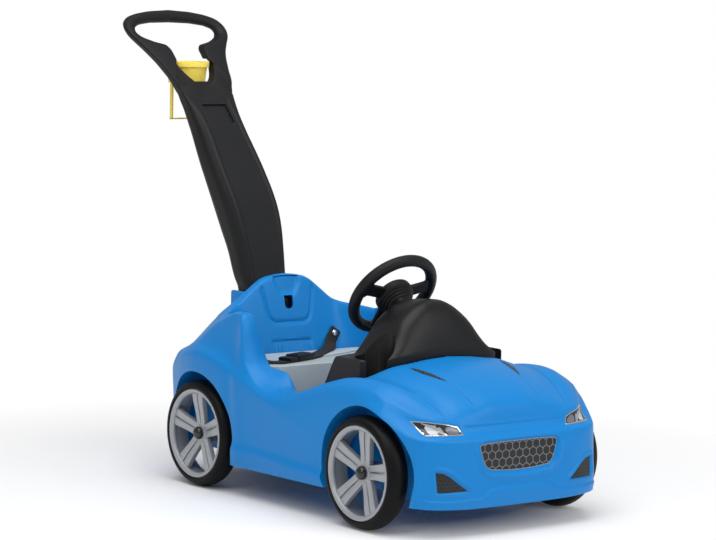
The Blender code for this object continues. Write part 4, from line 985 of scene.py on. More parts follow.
# Body: feature lines along the car, each as pairs of y and the value there
HOOD_RIDGE_X = ((-0.12, 0.045), (0.6, 0.045))
HOOD_CREASE_X = mm(-120, 78, 50, 88, 600, 85)
HOOD_SIDE_X = mm(-120, 112, 50, 126, 600, 120)
LIP_X = mm(-120, 145, -60, 147, 20, 168, 80, 176, 200, 181, 300, 184, 385, 184, 412, 203, 460, 203,
           530, 192, 620, 185, 700, 160)
CREST_X = mm(-90, 211, -60, 221, 0, 226, 100, 230, 200, 234, 300, 236, 370, 236, 400, 234, 430, 226,
             520, 222, 600, 216, 650, 207)

# Heights of the same lines against y
CENTRE_Z = mm(-125, 203, -119, 227, -100, 246, -70, 262, -37, 275, 0, 285, 56, 294, 100, 298, 570, 398,
              586, 400, 597, 403, 607, 398, 616, 372, 622, 336, 640, 322, 680, 303, 715, 272)
RIDGE_Z = mm(-125, 203, -119, 227, -100, 245, -70, 261, -37, 273, 0, 283, 56, 292, 100, 296, 570, 394,
             586, 396, 597, 398, 607, 393, 616, 367, 622, 333, 640, 321, 680, 302, 714, 270)
CREASE_Z = mm(-125, 200, -119, 220, -100, 238, -70, 255, -37, 268, 0, 278, 45, 286, 100, 291, 570, 368,
              586, 371, 597, 373, 608, 368, 616, 350, 624, 329, 645, 315, 680, 297, 712, 268)
SIDE_Z = mm(-125, 198, -119, 212, -100, 232, -70, 249, -37, 262, 0, 273, 45, 281, 100, 286, 570, 343,
            586, 346, 600, 347, 610, 343, 625, 327, 650, 309, 707, 264)
LIP_Z = mm(-120, 197, -110, 212, -90, 227, -60, 243, -20, 256, 20, 264, 60, 265, 100, 261, 160, 247,
           220, 229, 265, 214, 293, 213, 304, 228, 318, 243, 335, 249, 375, 250, 386, 259, 396, 290,
           404, 330, 413, 348, 430, 351, 500, 340, 540, 327, 600, 294, 680, 252)
FENDER_Z = mm(-110, 197, -90, 219, -60, 243, -40, 254, 0, 267, 40, 270, 90, 267, 160, 250, 220, 229,
              260, 217, 300, 218, 335, 231, 370, 250, 386, 266, 396, 298, 404, 336, 413, 351, 430, 354,
              500, 333, 540, 317, 600, 282, 660, 250)
CREST_Z = mm(-100, 196, -80, 212, -60, 229, -40, 239, -20, 247, 0, 253, 40, 258, 90, 256, 160, 241,
             220, 222, 260, 211, 300, 211, 340, 220, 370, 241, 386, 260, 395, 288, 403, 324, 412, 344,
             430, 349, 500, 326, 534, 307, 566, 288, 612, 268, 660, 240)
# Each feature line of the top skin; the one without its own places lies midway between its neighbours
COLUMN_X = (mm(0, 0, 600, 0), HOOD_RIDGE_X, HOOD_CREASE_X, HOOD_SIDE_X, LIP_X, None, CREST_X)
COLUMN_Z = (CENTRE_Z, RIDGE_Z, CREASE_Z, SIDE_Z, LIP_Z, FENDER_Z, CREST_Z)
WAIST_Z = mm(-125, 187, -90, 192, -60, 212, -20, 234, 40, 246, 100, 240, 160, 224, 220, 206, 260, 200,
             320, 207, 360, 224, 390, 243, 420, 259, 470, 276, 540, 281, 600, 262, 660, 236, 715, 258)
WAIST_OUT = mm(-125, 7, -60, 10, 40, 8, 200, 6, 360, 6, 420, 9, 500, 12, 600, 12, 660, 8, 715, 5)
RIDGE_LINE_Z = mm(-125, 174, -90, 178, -50, 196, 0, 224, 50, 219, 100, 193, 150, 168, 190, 160, 250, 178,
                  312, 198, 360, 215, 436, 241, 520, 262, 600, 246, 660, 215, 715, 235)
RIDGE_OUT = mm(-125, 18, -118, 22, -95, 30, -70, 28, -20, 20, 40, 14, 200, 10, 300, 9, 370, 11, 410, 18,
               450, 26, 540, 29, 600, 23, 660, 14, 715, 10)
DOOR_Z = mm(-125, 143, -50, 160, 0, 170, 100, 145, 190, 130, 300, 150, 450, 170, 600, 170, 715, 180)
DOOR_OUT = mm(-125, 3, -60, 0, 100, -3, 600, -2, 715, -2)
GROOVE_Z = mm(-125, 108, -50, 105, 120, 94, 380, 107, 600, 110, 715, 115)
GROOVE_OUT = mm(-125, 4.5, -50, 1, 100, -5.5, 410, -5.5, 600, -3, 715, -6)
ROCKER_Z = mm(-125, 78, -50, 82, 120, 79, 380, 90, 600, 85, 715, 85)
ROCKER_OUT = mm(-125, 7, -50, 2, 100, 1, 600, -4, 715, -10)
HEM_Z = mm(-125, 52, -90, 56, 100, 60, 390, 58, 600, 60, 715, 64)
HEM_OUT = mm(-125, 3, -50, -3, 100, -4, 600, -10, 715, -16)

SIDE_LINES = ((WAIST_Z, WAIST_OUT, False), (RIDGE_LINE_Z, RIDGE_OUT, False), (DOOR_Z, DOOR_OUT, True),
              (GROOVE_Z, GROOVE_OUT, True), (ROCKER_Z, ROCKER_OUT, True), (HEM_Z, HEM_OUT, True))


# Handle: height, and the front and rear as shares of the sweep behind the pivot
SHANK = ((0.2, -0.0551, 0.0551), (0.33, -0.0476, 0.0776), (0.37, -0.0375, 0.0976), (0.4, -0.0175, 0.1227),
         (0.44, 0.005, 0.1577), (0.48, 0.0325, 0.2078), (0.52, 0.0726, 0.2603), (0.56, 0.1327, 0.3179),
         (0.6, 0.2078, 0.3805), (0.64, 0.2854, 0.4456), (0.68, 0.3655, 0.5106), (0.72, 0.4556, 0.5707),
         (0.745, 0.5207, 0.6108), (0.768, 0.5807, 0.6358))
SHANK_HALF = mm(200, 47, 330, 47.2, 368, 48.2, 385, 52.5, 400, 54.5, 440, 57.5, 480, 61, 520, 63.5,
                560, 64.5, 600, 64.2, 640, 62, 680, 59.2, 720, 59.2, 745, 61.5, 757, 64, 768, 67.5,
                778, 70.8)
LOOP_OUTER = mm(54, 738, 63.8, 757, 71, 778, 77.5, 800, 85, 818, 97, 838, 112, 856, 123.5, 870, 127.5, 884,
                124, 897, 110.5, 908.5, 86, 916.2, 51, 921.8, 0, 925)
LOOP_INNER = mm(0, 770, 11, 771.8, 21, 777, 30.5, 786, 38.5, 797, 44.5, 808, 48, 819.5, 40.5, 821.5,
                41, 844, 48, 853, 73, 859, 94.5, 868, 102.5, 876.8, 99, 886, 83.5, 892.5, 50, 897,
                0, 898.5)


def nose_line(x: float) -> float:
    """Return y of the bonnet's front line at a distance from the centre plane."""
    return -0.125 * math.sqrt(max(0.0, 1 - (x / 0.228) ** 4))


def tail_line(x: float) -> float:
    """Return y of the tail's rear line at a distance from the centre plane."""
    return 0.6 + 0.115 * math.sqrt(max(0.0, 1 - (x / 0.222) ** 4))


def cowl_line(x: float) -> float:
    """Return y of the cabin opening's front edge, which has rounded corners."""
    return 0.07 + 0.035 * min(1.0, x / 0.176) ** 6


def rim_line(x: float) -> float:
    """Return y of the seatback's top edge, which has rounded corners."""
    return 0.586 - 0.05 * min(1.0, x / 0.192) ** 6


def column_x(column: int, y: float) -> float:
    """Return x of one feature line of the top skin at a place along the car."""
    return (smooth_through(COLUMN_X[column], y) if COLUMN_X[column]
            else (column_x(column - 1, y) + column_x(column + 1, y)) / 2)


def skin_row(line_a: Callable[[float], float], line_b: Callable[[float], float],
             share: float) -> list[Vector]:
    """Return one row of the top skin, between two lines across the car.

    Args:
        line_a: The line in front, y for each x.
        line_b: The line behind.
        share: How far the row lies from the first to the second.

    Returns:
        The row's point on each feature line, from the centre plane outwards.
    """
    row: list[Vector] = []
    for column in range(len(COLUMN_X)):
        x = 0.1
        y = 0.0
        for _ in range(10):
            y = line_a(x) * (1 - share) + line_b(x) * share
            x = column_x(column, y)
        row.append(Vector((x, y, smooth_through(COLUMN_Z[column], y))))
    return row


def finer(values: Sequence[float], cuts: int) -> list[float]:
    """Divide each step of a rising list into equal parts."""
    result = [a + (b - a) * k / cuts for a, b in zip(values[:-1], values[1:]) for k in range(cuts)]
    return result + [values[-1]]


def plan_normals(points: Sequence[Vector]) -> list[Vector]:
    """Return the outward normals of a half outline seen from above, from the front to the rear."""
    sides = [Vector((b.y - a.y, a.x - b.x, 0)).normalized() for a, b in zip(points, points[2:])]
    return [Vector((0, -1, 0)), *sides, Vector((0, 1, 0))]


def border(rows: Rows) -> list[tuple[int, int]]:
    """Return the places, by row and column, round the front, outer side and rear of some rows."""
    last = len(rows[0]) - 1
    return ([(0, j) for j in range(last + 1)] + [(i, last) for i in range(1, len(rows))]
            + [(len(rows) - 1, j) for j in range(last - 1, -1, -1)])


def laid(rows: Rows, flip: bool = False) -> BMesh:
    """Lay a grid through rows of points given from the datum line.

    Args:
        rows: The rows, all of one length.
        flip: Whether its faces are turned over.

    Returns:
        The grid as an open surface in the frame.
    """
    bm = sheet_of([[car(*point) for point in row] for row in rows])
    if flip:
        bmesh.ops.reverse_faces(bm, faces=bm.faces)
    return bm


GRILLE = mm(0, 168, 45, 168, 84, 166.5, 91.5, 163, 90.5, 155, 83, 132, 77, 123.5, 68, 118.3, 35, 115,
            0, 114)
HEADLIGHT = mm(121.6, 184, 129, 198.5, 148, 203.5, 180, 208, 204, 209, 199, 199.5, 193, 184.5)
FOG = mm(182, 85, 184, 121, 170, 119, 158, 112, 140, 98, 123, 85.5)
VENT = mm(87, -38, 96, -24, 108, 6, 111, 30, 108, 46, 101, 30, 93, 0)
BUMPER = mm(0, 88, 45, 87.5, 70, 86, 82, 78, 95, 71.5, 150, 70.5, 192, 72.5, 230, 76)


BACK_PANEL = mm(34, 307.5, 44, 311, 51, 320, 55, 335, 62, 370, 60, 398)


@dataclass
class BodyShell:
    """The blue moulded body: skin, cabin tub, wheel wells and the channel that the handle stands in."""

    wall: float = 0.0038
    across: int = 5
    along: int = 3
    down: int = 5
    arch_radius: float = 0.122
    well_inner: float = 0.166
    channel_half: float = 0.05
    channel_front: float = 0.626
    cheek: float = 0.0065
    lip_column: int = 4

    def row_grid(self) -> tuple[Rows, int, int]:
        """Work out the top skin.

        Returns:
            Its rows, and the indexes of the first and last row of the cabin.
        """
        cabin = [0.138, 0.152, 0.178, 0.215, 0.25, 0.28, 0.297, 0.308, 0.322, 0.345, 0.372, 0.386, 0.392,
                 0.398, 0.404, 0.412, 0.425, 0.455, 0.495, 0.52]
        rows = [skin_row(nose_line, lambda x: 0.01, share)
                for share in finer((0.0, 0.045, 0.12, 0.24, 0.4, 0.58, 0.79, 1.0), self.along)]
        rows += [skin_row(lambda x: 0.01, cowl_line, share)
                 for share in finer((0.0, 0.45, 1.0), self.along)[1:]]
        first = len(rows) - 1
        rows += [skin_row(cowl_line, lambda x: cabin[0], share)
                 for share in finer((0.0, 1.0), self.along * 2)[1:]]
        rows += [skin_row(lambda x, y=y: y, lambda x, y=y: y, 0.0) for y in finer(cabin, self.along)[1:]]
        rows += [skin_row(lambda x: cabin[-1], rim_line, share)
                 for share in finer((0.0, 1.0), self.along * 2)[1:]]
        last = len(rows) - 1
        rows += [skin_row(rim_line, tail_line, share)
                 for share in finer((0.0, 0.09, 0.17, 0.25, 0.32, 0.48, 0.7, 1.0), self.along)[1:]]
        return [self.spread(row) for row in rows], first, last

    def spread(self, row: Sequence[Vector]) -> list[Vector]:
        """Refine one row across the car, smooth over the centre plane."""
        twin = [Vector((-p.x, p.y, p.z)) for p in reversed(row[1:3])]
        return refined(twin + list(row), self.across)[2 * self.across:]

    def side_rings(self, edge: Sequence[Vector]) -> Rows:
        """Work out the side wall below the shoulder.

        Args:
            edge: The shoulder line, nose to tail.

        Returns:
            The rings from the shoulder down to the hem.
        """
        normals = plan_normals(edge)
        columns: Rows = []
        for point, normal in zip(edge, normals):
            ridge = smooth_through(RIDGE_OUT, point.y)
            column = [point]
            for heights, offsets, past in SIDE_LINES:
                out = smooth_through(offsets, point.y) + (ridge if past else 0.0)
                place = point + normal * out
                column.append(Vector((max(place.x, 0.0), place.y, smooth_through(heights, point.y))))
            columns.append(refined(column, self.down))
        return [list(ring) for ring in zip(*columns)]

    def tub_rings(self, edge: Sequence[Vector]) -> Rows:
        """Work out the cabin's inner wall.

        Args:
            edge: The lip of the cabin, from the cowl round the left side to the seatback.

        Returns:
            The rings from the lip down to the floor.
        """
        normals = plan_normals(edge)
        rings = [list(edge)]
        for drop, inset in mm(1.2, 1.8, 4.5, 3.6, 12, 4.8):
            rings.append([p - n * inset - Vector((0, 0, drop)) for p, n in zip(edge, normals)])
        bottom = []
        for point, normal in zip(edge, normals):
            low = 0.085 if 0.152 <= point.y < 0.391 else 0.236
            place = point - normal * 0.0055
            if point.y > 0.52 and normal.y > 0.5:
                place.y = min(place.y, 0.553)
            bottom.append(Vector((max(place.x, 0.0), place.y, low)))
        self.ease_corners(bottom)
        top = rings[-1]
        for share in (0.2, 0.4, 0.6, 0.8):
            rings.append([a.lerp(b, share) for a, b in zip(top, bottom)])
        rings.append(bottom)
        for ring in rings:
            ring[0].x = 0.0
            ring[-1].x = 0.0
        return rings

    def ease_corners(self, ring: list[Vector]) -> None:
        """Even out a ring's points where it turns from across the car to along it.

        Args:
            ring: The ring, which is changed.
        """
        for _ in range(12):
            before = [point.copy() for point in ring]
            for i in range(1, len(ring) - 1):
                if before[i].y < 0.136 or before[i].y > 0.5:
                    middle = (before[i - 1] + before[i + 1]) / 2
                    ring[i].xy = before[i].xy.lerp(middle.xy, 0.5)

    def half_skin(self) -> BMesh:
        """Build the left half of the skin and the tub.

        Returns:
            One open surface, in the frame.
        """
        rows, first, last = self.row_grid()
        lip = self.lip_column * self.across
        ahead = laid(rows[:first + 1])
        beside = laid([row[lip:] for row in rows[first:last + 1]])
        behind = laid(rows[last:])
        edge = [rows[i][j] for i, j in border(rows)]
        side = laid(self.side_rings(edge), True)
        mouth = ([rows[first][j] for j in range(lip + 1)] + [rows[i][lip] for i in range(first + 1, last)]
                 + [rows[last][j] for j in range(lip, -1, -1)])
        rings = self.tub_rings(mouth)
        bm = joined(ahead, beside, behind, side, laid(rings), self.floor(rings[-1], lip + 1))
        bmesh.ops.remove_doubles(bm, verts=bm.verts, dist=0.00012)
        bmesh.ops.dissolve_degenerate(bm, edges=bm.edges, dist=0.00005)
        face_outwards(bm, car(0.02, 0.03, 0.29))
        return bm

    def floor(self, ring: Sequence[Vector], across: int) -> BMesh:
        """Lay the tub's floor across the cabin.

        Args:
            ring: The lowest ring of the tub.
            across: How many points of it lie along the cowl, and as many along the seatback.

        Returns:
            The floor's left half.
        """
        spots = [car(*point) for point in ring[across - 1:len(ring) - across + 1]]
        return sheet_of([[Vector((0.0, spot.y, spot.z)), spot] for spot in spots[1:-1]])

    def relief(self, x: float, z: float) -> float:
        """Read how far the front's moulded shapes stand out.

        Args:
            x: The distance from the centre plane.
            z: The height.

        Returns:
            The outward height of the shape there, negative in a recess.
        """
        mouth = away_from(both_sides(GRILLE), x, z)
        fog = away_from(FOG, x, z)
        lamp = away_from(HEADLIGHT, x, z)
        out = -0.0042 * (1 - ease(0.0002, 0.0042, mouth))
        out += 0.0026 * bump(0.0105, 0.007, mouth) * (1 - ease(0.15, 0.166, z))
        out -= 0.0024 * (1 - ease(0.0002, 0.0034, fog))
        out += 0.0022 * bump(0.0072, 0.0052, fog) * ease(0.0835, 0.09, z)
        out -= 0.001 * (1 - ease(0.0002, 0.003, lamp))
        out -= 0.0013 * bump(0.1965, 0.003, z) * (1 - ease(0.108, 0.122, x))
        crease = smooth_through(BUMPER, x)
        out += 0.0034 * (1 - ease(crease - 0.0035, crease + 0.001, z)) * (1 - ease(0.19, 0.225, x))
        return out

    def mould_front(self, bm: BMesh) -> None:
        """Press the mouth, lamp recesses and bumper edge into the front.

        Args:
            bm: The left half of the skin.
        """
        def ahead(face: bmesh.types.BMFace) -> bool:
            """Tell whether a face belongs to the front wall."""
            place = face.calc_center_median()
            return place.y < DATUM_Y - 0.07 and 0.06 < place.z < 0.214 and abs(face.normal.z) < 0.8
        for _ in range(2):
            edges = {edge for face in bm.faces if ahead(face) for edge in face.edges
                     if edge.calc_length() > 0.0022}
            bmesh.ops.subdivide_edges(bm, edges=list(edges), cuts=1, use_grid_fill=True)
        bm.normal_update()
        moves: list[tuple[bmesh.types.BMVert, Vector]] = []
        for vert in bm.verts:
            if vert.co.y < DATUM_Y - 0.062 and 0.05 < vert.co.z < 0.216:
                way = Vector((vert.normal.x, vert.normal.y, 0.0))
                if vert.co.x < 0.0001:
                    way.x = 0.0
                if way.length > 0.3:
                    moves.append((vert, way.normalized() * self.relief(vert.co.x, vert.co.z)))
        for vert, move in moves:
            vert.co += move

    def back_relief(self, x: float, z: float) -> float:
        """Read how deep the seatback's moulded shapes are.

        Args:
            x: The distance from the centre plane.
            z: The height.

        Returns:
            The height over the seatback's face, negative in a groove.
        """
        edge = abs(away_from(both_sides(BACK_PANEL), x, z))
        out = -0.003 * bump(0.0, 0.0058, edge) * (1 - ease(0.372, 0.384, z))
        wide = 0.013 + 0.017 * ease(0.352, 0.392, z)
        out -= 0.0065 * (1 - ease(wide - 0.003, wide + 0.005, x)) * ease(0.356, 0.368, z)
        out -= 0.003 * bump(0.269, 0.0055, z) * (1 - ease(0.044, 0.052, x))
        return out

    def mould_back(self, bm: BMesh) -> None:
        """Press the panel, the channel and the lower groove into the seatback.

        Args:
            bm: The left half of the skin.
        """
        def within(place: Vector) -> bool:
            """Tell whether a point lies on the seatback's face."""
            return 0.535 < place.y - DATUM_Y < 0.6 and 0.252 < place.z < 0.412 and place.x < 0.078
        for _ in range(3):
            edges = {edge for face in bm.faces if within(face.calc_center_median()) for edge in face.edges
                     if edge.calc_length() > 0.0036}
            bmesh.ops.subdivide_edges(bm, edges=list(edges), cuts=1, use_grid_fill=True)
        bm.normal_update()
        moves = []
        for vert in bm.verts:
            if within(vert.co) and abs(vert.normal.y) > 0.4:
                moves.append((vert, self.back_relief(vert.co.x, vert.co.z)))
        for vert, depth in moves:
            vert.co.y -= depth

    def build(self) -> Item:
        """Build the whole body.

        Returns:
            The finished body piece.
        """
        bm = self.half_skin()
        inner = [v for v in bm.verts if not v.is_boundary and v.co.x > 0.001]
        for _ in range(2):
            bmesh.ops.smooth_vert(bm, verts=inner, factor=0.5, use_axis_x=True, use_axis_y=True,
                                  use_axis_z=True)
        self.mould_front(bm)
        self.mould_back(bm)
        doubled(bm)
        gaps = [e for e in bm.edges if e.is_boundary and e.verts[0].co.z > 0.07]
        bmesh.ops.holes_fill(bm, edges=gaps, sides=0)
        face_outwards(bm, car(0.02, 0.03, 0.29))
        shell = finished("body_moulding", bm, Finish.BODY)
        wall = shell.modifiers.new("Wall", "SOLIDIFY")
        wall.thickness = self.wall
        wall.offset = -1.0
        wall.use_even_offset = True
        wall.thickness_clamp = 1.0
        modified(shell)
        self.open_up(shell)
        return shell

    def form(self) -> BMesh:
        """Build the closed outer form of the body, without the cabin.

        Returns:
            The solid, a little inside the skin.
        """
        rows, _, _ = self.row_grid()
        edge = [rows[i][j] for i, j in border(rows)]
        rings = self.side_rings(edge)
        bm = joined(laid(rows), laid(rings, True))
        bmesh.ops.remove_doubles(bm, verts=bm.verts, dist=0.0001)
        doubled(bm)
        bmesh.ops.holes_fill(bm, edges=bm.edges, sides=0)
        bmesh.ops.triangulate(bm, faces=bm.faces)
        bmesh.ops.recalc_face_normals(bm, faces=bm.faces)
        bm.normal_update()
        for vert, way in [(vert, vert.normal.copy()) for vert in bm.verts]:
            vert.co -= way * self.wall / 2
        return bm

    def open_up(self, shell: Item) -> None:
        """Add the wheel wells and the handle's channel, and cut the openings.

        Args:
            shell: The solid skin.
        """
        solid = finished("body_form", self.form(), Finish.BODY)
        wells = [(y, sign) for y in (FRONT_AXLE, REAR_AXLE) for sign in (1, -1)]
        liners = joined(*[rod(self.arch_radius + self.wall,
                              car((self.well_inner - self.wall) * s, y, WHEEL_RADIUS),
                              car(0.3 * s, y, WHEEL_RADIUS), 96) for y, s in wells])
        arches = joined(*[rod(self.arch_radius, car(self.well_inner * s, y, WHEEL_RADIUS),
                              car(0.31 * s, y, WHEEL_RADIUS), 96) for y, s in wells])
        half, front, thick = self.channel_half, self.channel_front, self.wall
        channel = brick(car(-half - thick, front - thick, 0.16 - thick), car(half + thick, 0.78, 0.36))
        cheeks = brick(car(-half - self.cheek, front + 0.006, 0.26),
                       car(half + self.cheek, PIVOT_Y + 0.044, 0.362), 0.004)
        space = brick(car(-half, front, 0.16), car(half, 0.8, 0.42))
        bores = joined(*[rod(BORE_RADIUS, car(-0.2, y, WHEEL_RADIUS), car(0.2, y, WHEEL_RADIUS), 24)
                         for y in (FRONT_AXLE, REAR_AXLE)],
                       rod(BORE_RADIUS, car(-0.1, PIVOT_Y, PIVOT_Z), car(0.1, PIVOT_Y, PIVOT_Z), 24))
        slot = slab(mm(-10.5, 360, 10.5, 360, 10.5, 342.5, 7.6, 335.7, 0, 333, -7.6, 335.7, -10.5, 342.5),
                    0.55 + DATUM_Y, 0.635 + DATUM_Y, "Y")
        lined, walled = inside(liners, solid), inside(channel, solid)
        cut(shell, lined, "UNION")
        cut(shell, arches)
        cut(shell, walled, "UNION")
        cut(shell, cheeks, "UNION")
        cut(shell, space)
        cut(shell, joined(bores, slot))
        bpy.data.objects.remove(solid, do_unlink=True)


@dataclass
class Inlay:
    """A thin panel that lies on the body's skin and follows it."""

    name: str
    outline: Outline
    finish: Finish
    stands_for: tuple[str, ...] = ()
    lift: float = 0.0006
    rounding: float = 0.002
    pitch: float = 0.0035
    thick: float = 0.001
    axis: str = "Y"
    slot: str = "trim_black"

    def build(self, tree: BVHTree) -> Item:
        """Build the panel on the skin.

        Args:
            tree: The skin that it lies on.

        Returns:
            The finished panel.
        """
        flat = curved_profile(self.outline, self.rounding, 4)
        bm = bmesh.new()
        bmesh.ops.contextual_create(bm, geom=[bm.verts.new((a, b, 0)) for a, b in flat])
        for index in (0, 1):
            low = min(p[index] for p in flat)
            high = max(p[index] for p in flat)
            way = Vector((1, 0, 0)) if index == 0 else Vector((0, 1, 0))
            for k in range(1, int((high - low) / self.pitch) + 1):
                bmesh.ops.bisect_plane(bm, geom=all_of(bm), dist=WELD, plane_no=way,
                                       plane_co=way * (low + k * self.pitch))
        for vert in bm.verts:
            vert.co = self.onto(tree, vert.co.x, vert.co.y)
        grown = bmesh.ops.extrude_face_region(bm, geom=bm.faces[:])["geom"]
        step = Vector((0, self.thick, 0)) if self.axis == "Y" else Vector((0, 0, -self.thick))
        bmesh.ops.translate(bm, vec=step, verts=[v for v in grown if isinstance(v, bmesh.types.BMVert)])
        bmesh.ops.recalc_face_normals(bm, faces=bm.faces)
        item = finished(self.name, bm, self.finish, 30.0)
        return seat_piece(item, "car", self.slot, *self.stands_for)

    def onto(self, tree: BVHTree, a: float, b: float) -> Vector:
        """Find the place of a flat point on the skin.

        Args:
            tree: The skin.
            a: Its x.
            b: Its z on a front panel, its y on a top panel.

        Returns:
            The place, lifted off the skin.
        """
        if self.axis == "Y":
            start, way = Vector((a, -1.5, b)), Vector((0, 1, 0))
        else:
            start, way = Vector((a, b + DATUM_Y, 1.0)), Vector((0, 0, -1))
        place, normal, _, _ = tree.ray_cast(start, way)
        if place is None:
            raise ValueError(f"{self.name} doesn't lie on the skin at {a:.4f}, {b:.4f}")
        return place - way * self.lift


def on_side(outline: Points, sign: int) -> Outline:
    """Return a left side outline on the side that a sign names."""
    return [(x * sign, y) for x, y in outline]


def swollen(outline: Points, by: float) -> Outline:
    """Grow an outline.

    Args:
        outline: The closed outline's corners.
        by: How far it grows outwards, or shrinks when negative.

    Returns:
        The new corners.
    """
    count = len(outline)
    area = sum(outline[i][0] * outline[(i + 1) % count][1] - outline[(i + 1) % count][0] * outline[i][1]
               for i in range(count))
    way = 1 if area > 0 else -1
    result: Outline = []
    for i in range(count):
        here = Vector(outline[i])
        a = (here - Vector(outline[i - 1])).normalized()
        b = (Vector(outline[(i + 1) % count]) - here).normalized()
        normal = (Vector((a.y, -a.x)) + Vector((b.y, -b.x))) * way
        result.append(tuple(here + normal * by / max(0.5, normal.length_squared / 2)))
    return result


@dataclass
class FrontPanels:
    """The grille, headlights, fog lamp panels and bonnet vents."""

    def build(self, shell: Item) -> None:
        """Build the panels on the body.

        Args:
            shell: The body that they lie on.
        """
        tree = BVHTree.FromObject(shell, bpy.context.evaluated_depsgraph_get())
        mouth = both_sides(GRILLE)
        Inlay("grille_border", swollen(mouth, -0.0002), Finish.TRIM, (), 0.0002).build(tree)
        Inlay("grille_net", swollen(mouth, -0.0016), Finish.GRILLE, ("grille",)).build(tree)
        for side, sign in (("left", 1), ("right", -1)):
            self.headlight(tree, side, sign)
            Inlay(f"fog_net_{side}", on_side(FOG, sign), Finish.FOG, (f"fog_panel_{side}",)).build(tree)
            Inlay(f"vent_frame_{side}", on_side(VENT, sign), Finish.DASH, (), 0.0002, axis="Z").build(tree)
            Inlay(f"vent_bars_{side}", on_side(swollen(VENT, -0.0012), sign), Finish.VENT,
                  (f"hood_vent_{side}",), rounding=0.0008, axis="Z").build(tree)

    def headlight(self, tree: BVHTree, side: str, sign: int) -> None:
        """Build one headlight from layers.

        Args:
            tree: The skin that it lies on.
            side: The side's name.
            sign: 1 for the left side, -1 for the right side.
        """
        outer = mm(184, 187, 187.2, 199, 180, 203.5, 170, 201.5, 165.5, 194, 170, 187)
        inner = mm(150, 186.8, 154.5, 193, 150, 200, 139, 197.5, 131, 193, 127.5, 186.8)
        sweep = mm(190, 206, 170, 205, 162, 198.5, 158, 190.5, 150, 184.8, 156, 184.6, 166, 190.5,
                   169, 199, 178, 203.5, 190, 204.5)
        foot = mm(124, 184.6, 191, 185, 191.8, 186.6, 124.6, 186.2)
        layers = (("frame", HEADLIGHT, Finish.CHROME, (f"headlight_{side}",), 0.0003, 0.002),
                  ("bed", swollen(HEADLIGHT, -0.0017), Finish.BED, (), 0.0006, 0.0016),
                  ("lens_outer", outer, Finish.LENS, (), 0.0012, 0.003),
                  ("lens_inner", inner, Finish.SMOKE, (), 0.0011, 0.003),
                  ("sweep", sweep, Finish.CHROME, (), 0.0014, 0.001),
                  ("foot", foot, Finish.CHROME, (), 0.0013, 0.0006))
        for part, outline, finish, stands_for, lift, rounding in layers:
            Inlay(f"headlight_{part}_{side}", on_side(outline, sign), finish, stands_for, lift, rounding,
                  0.004, slot="lamp_silver").build(tree)


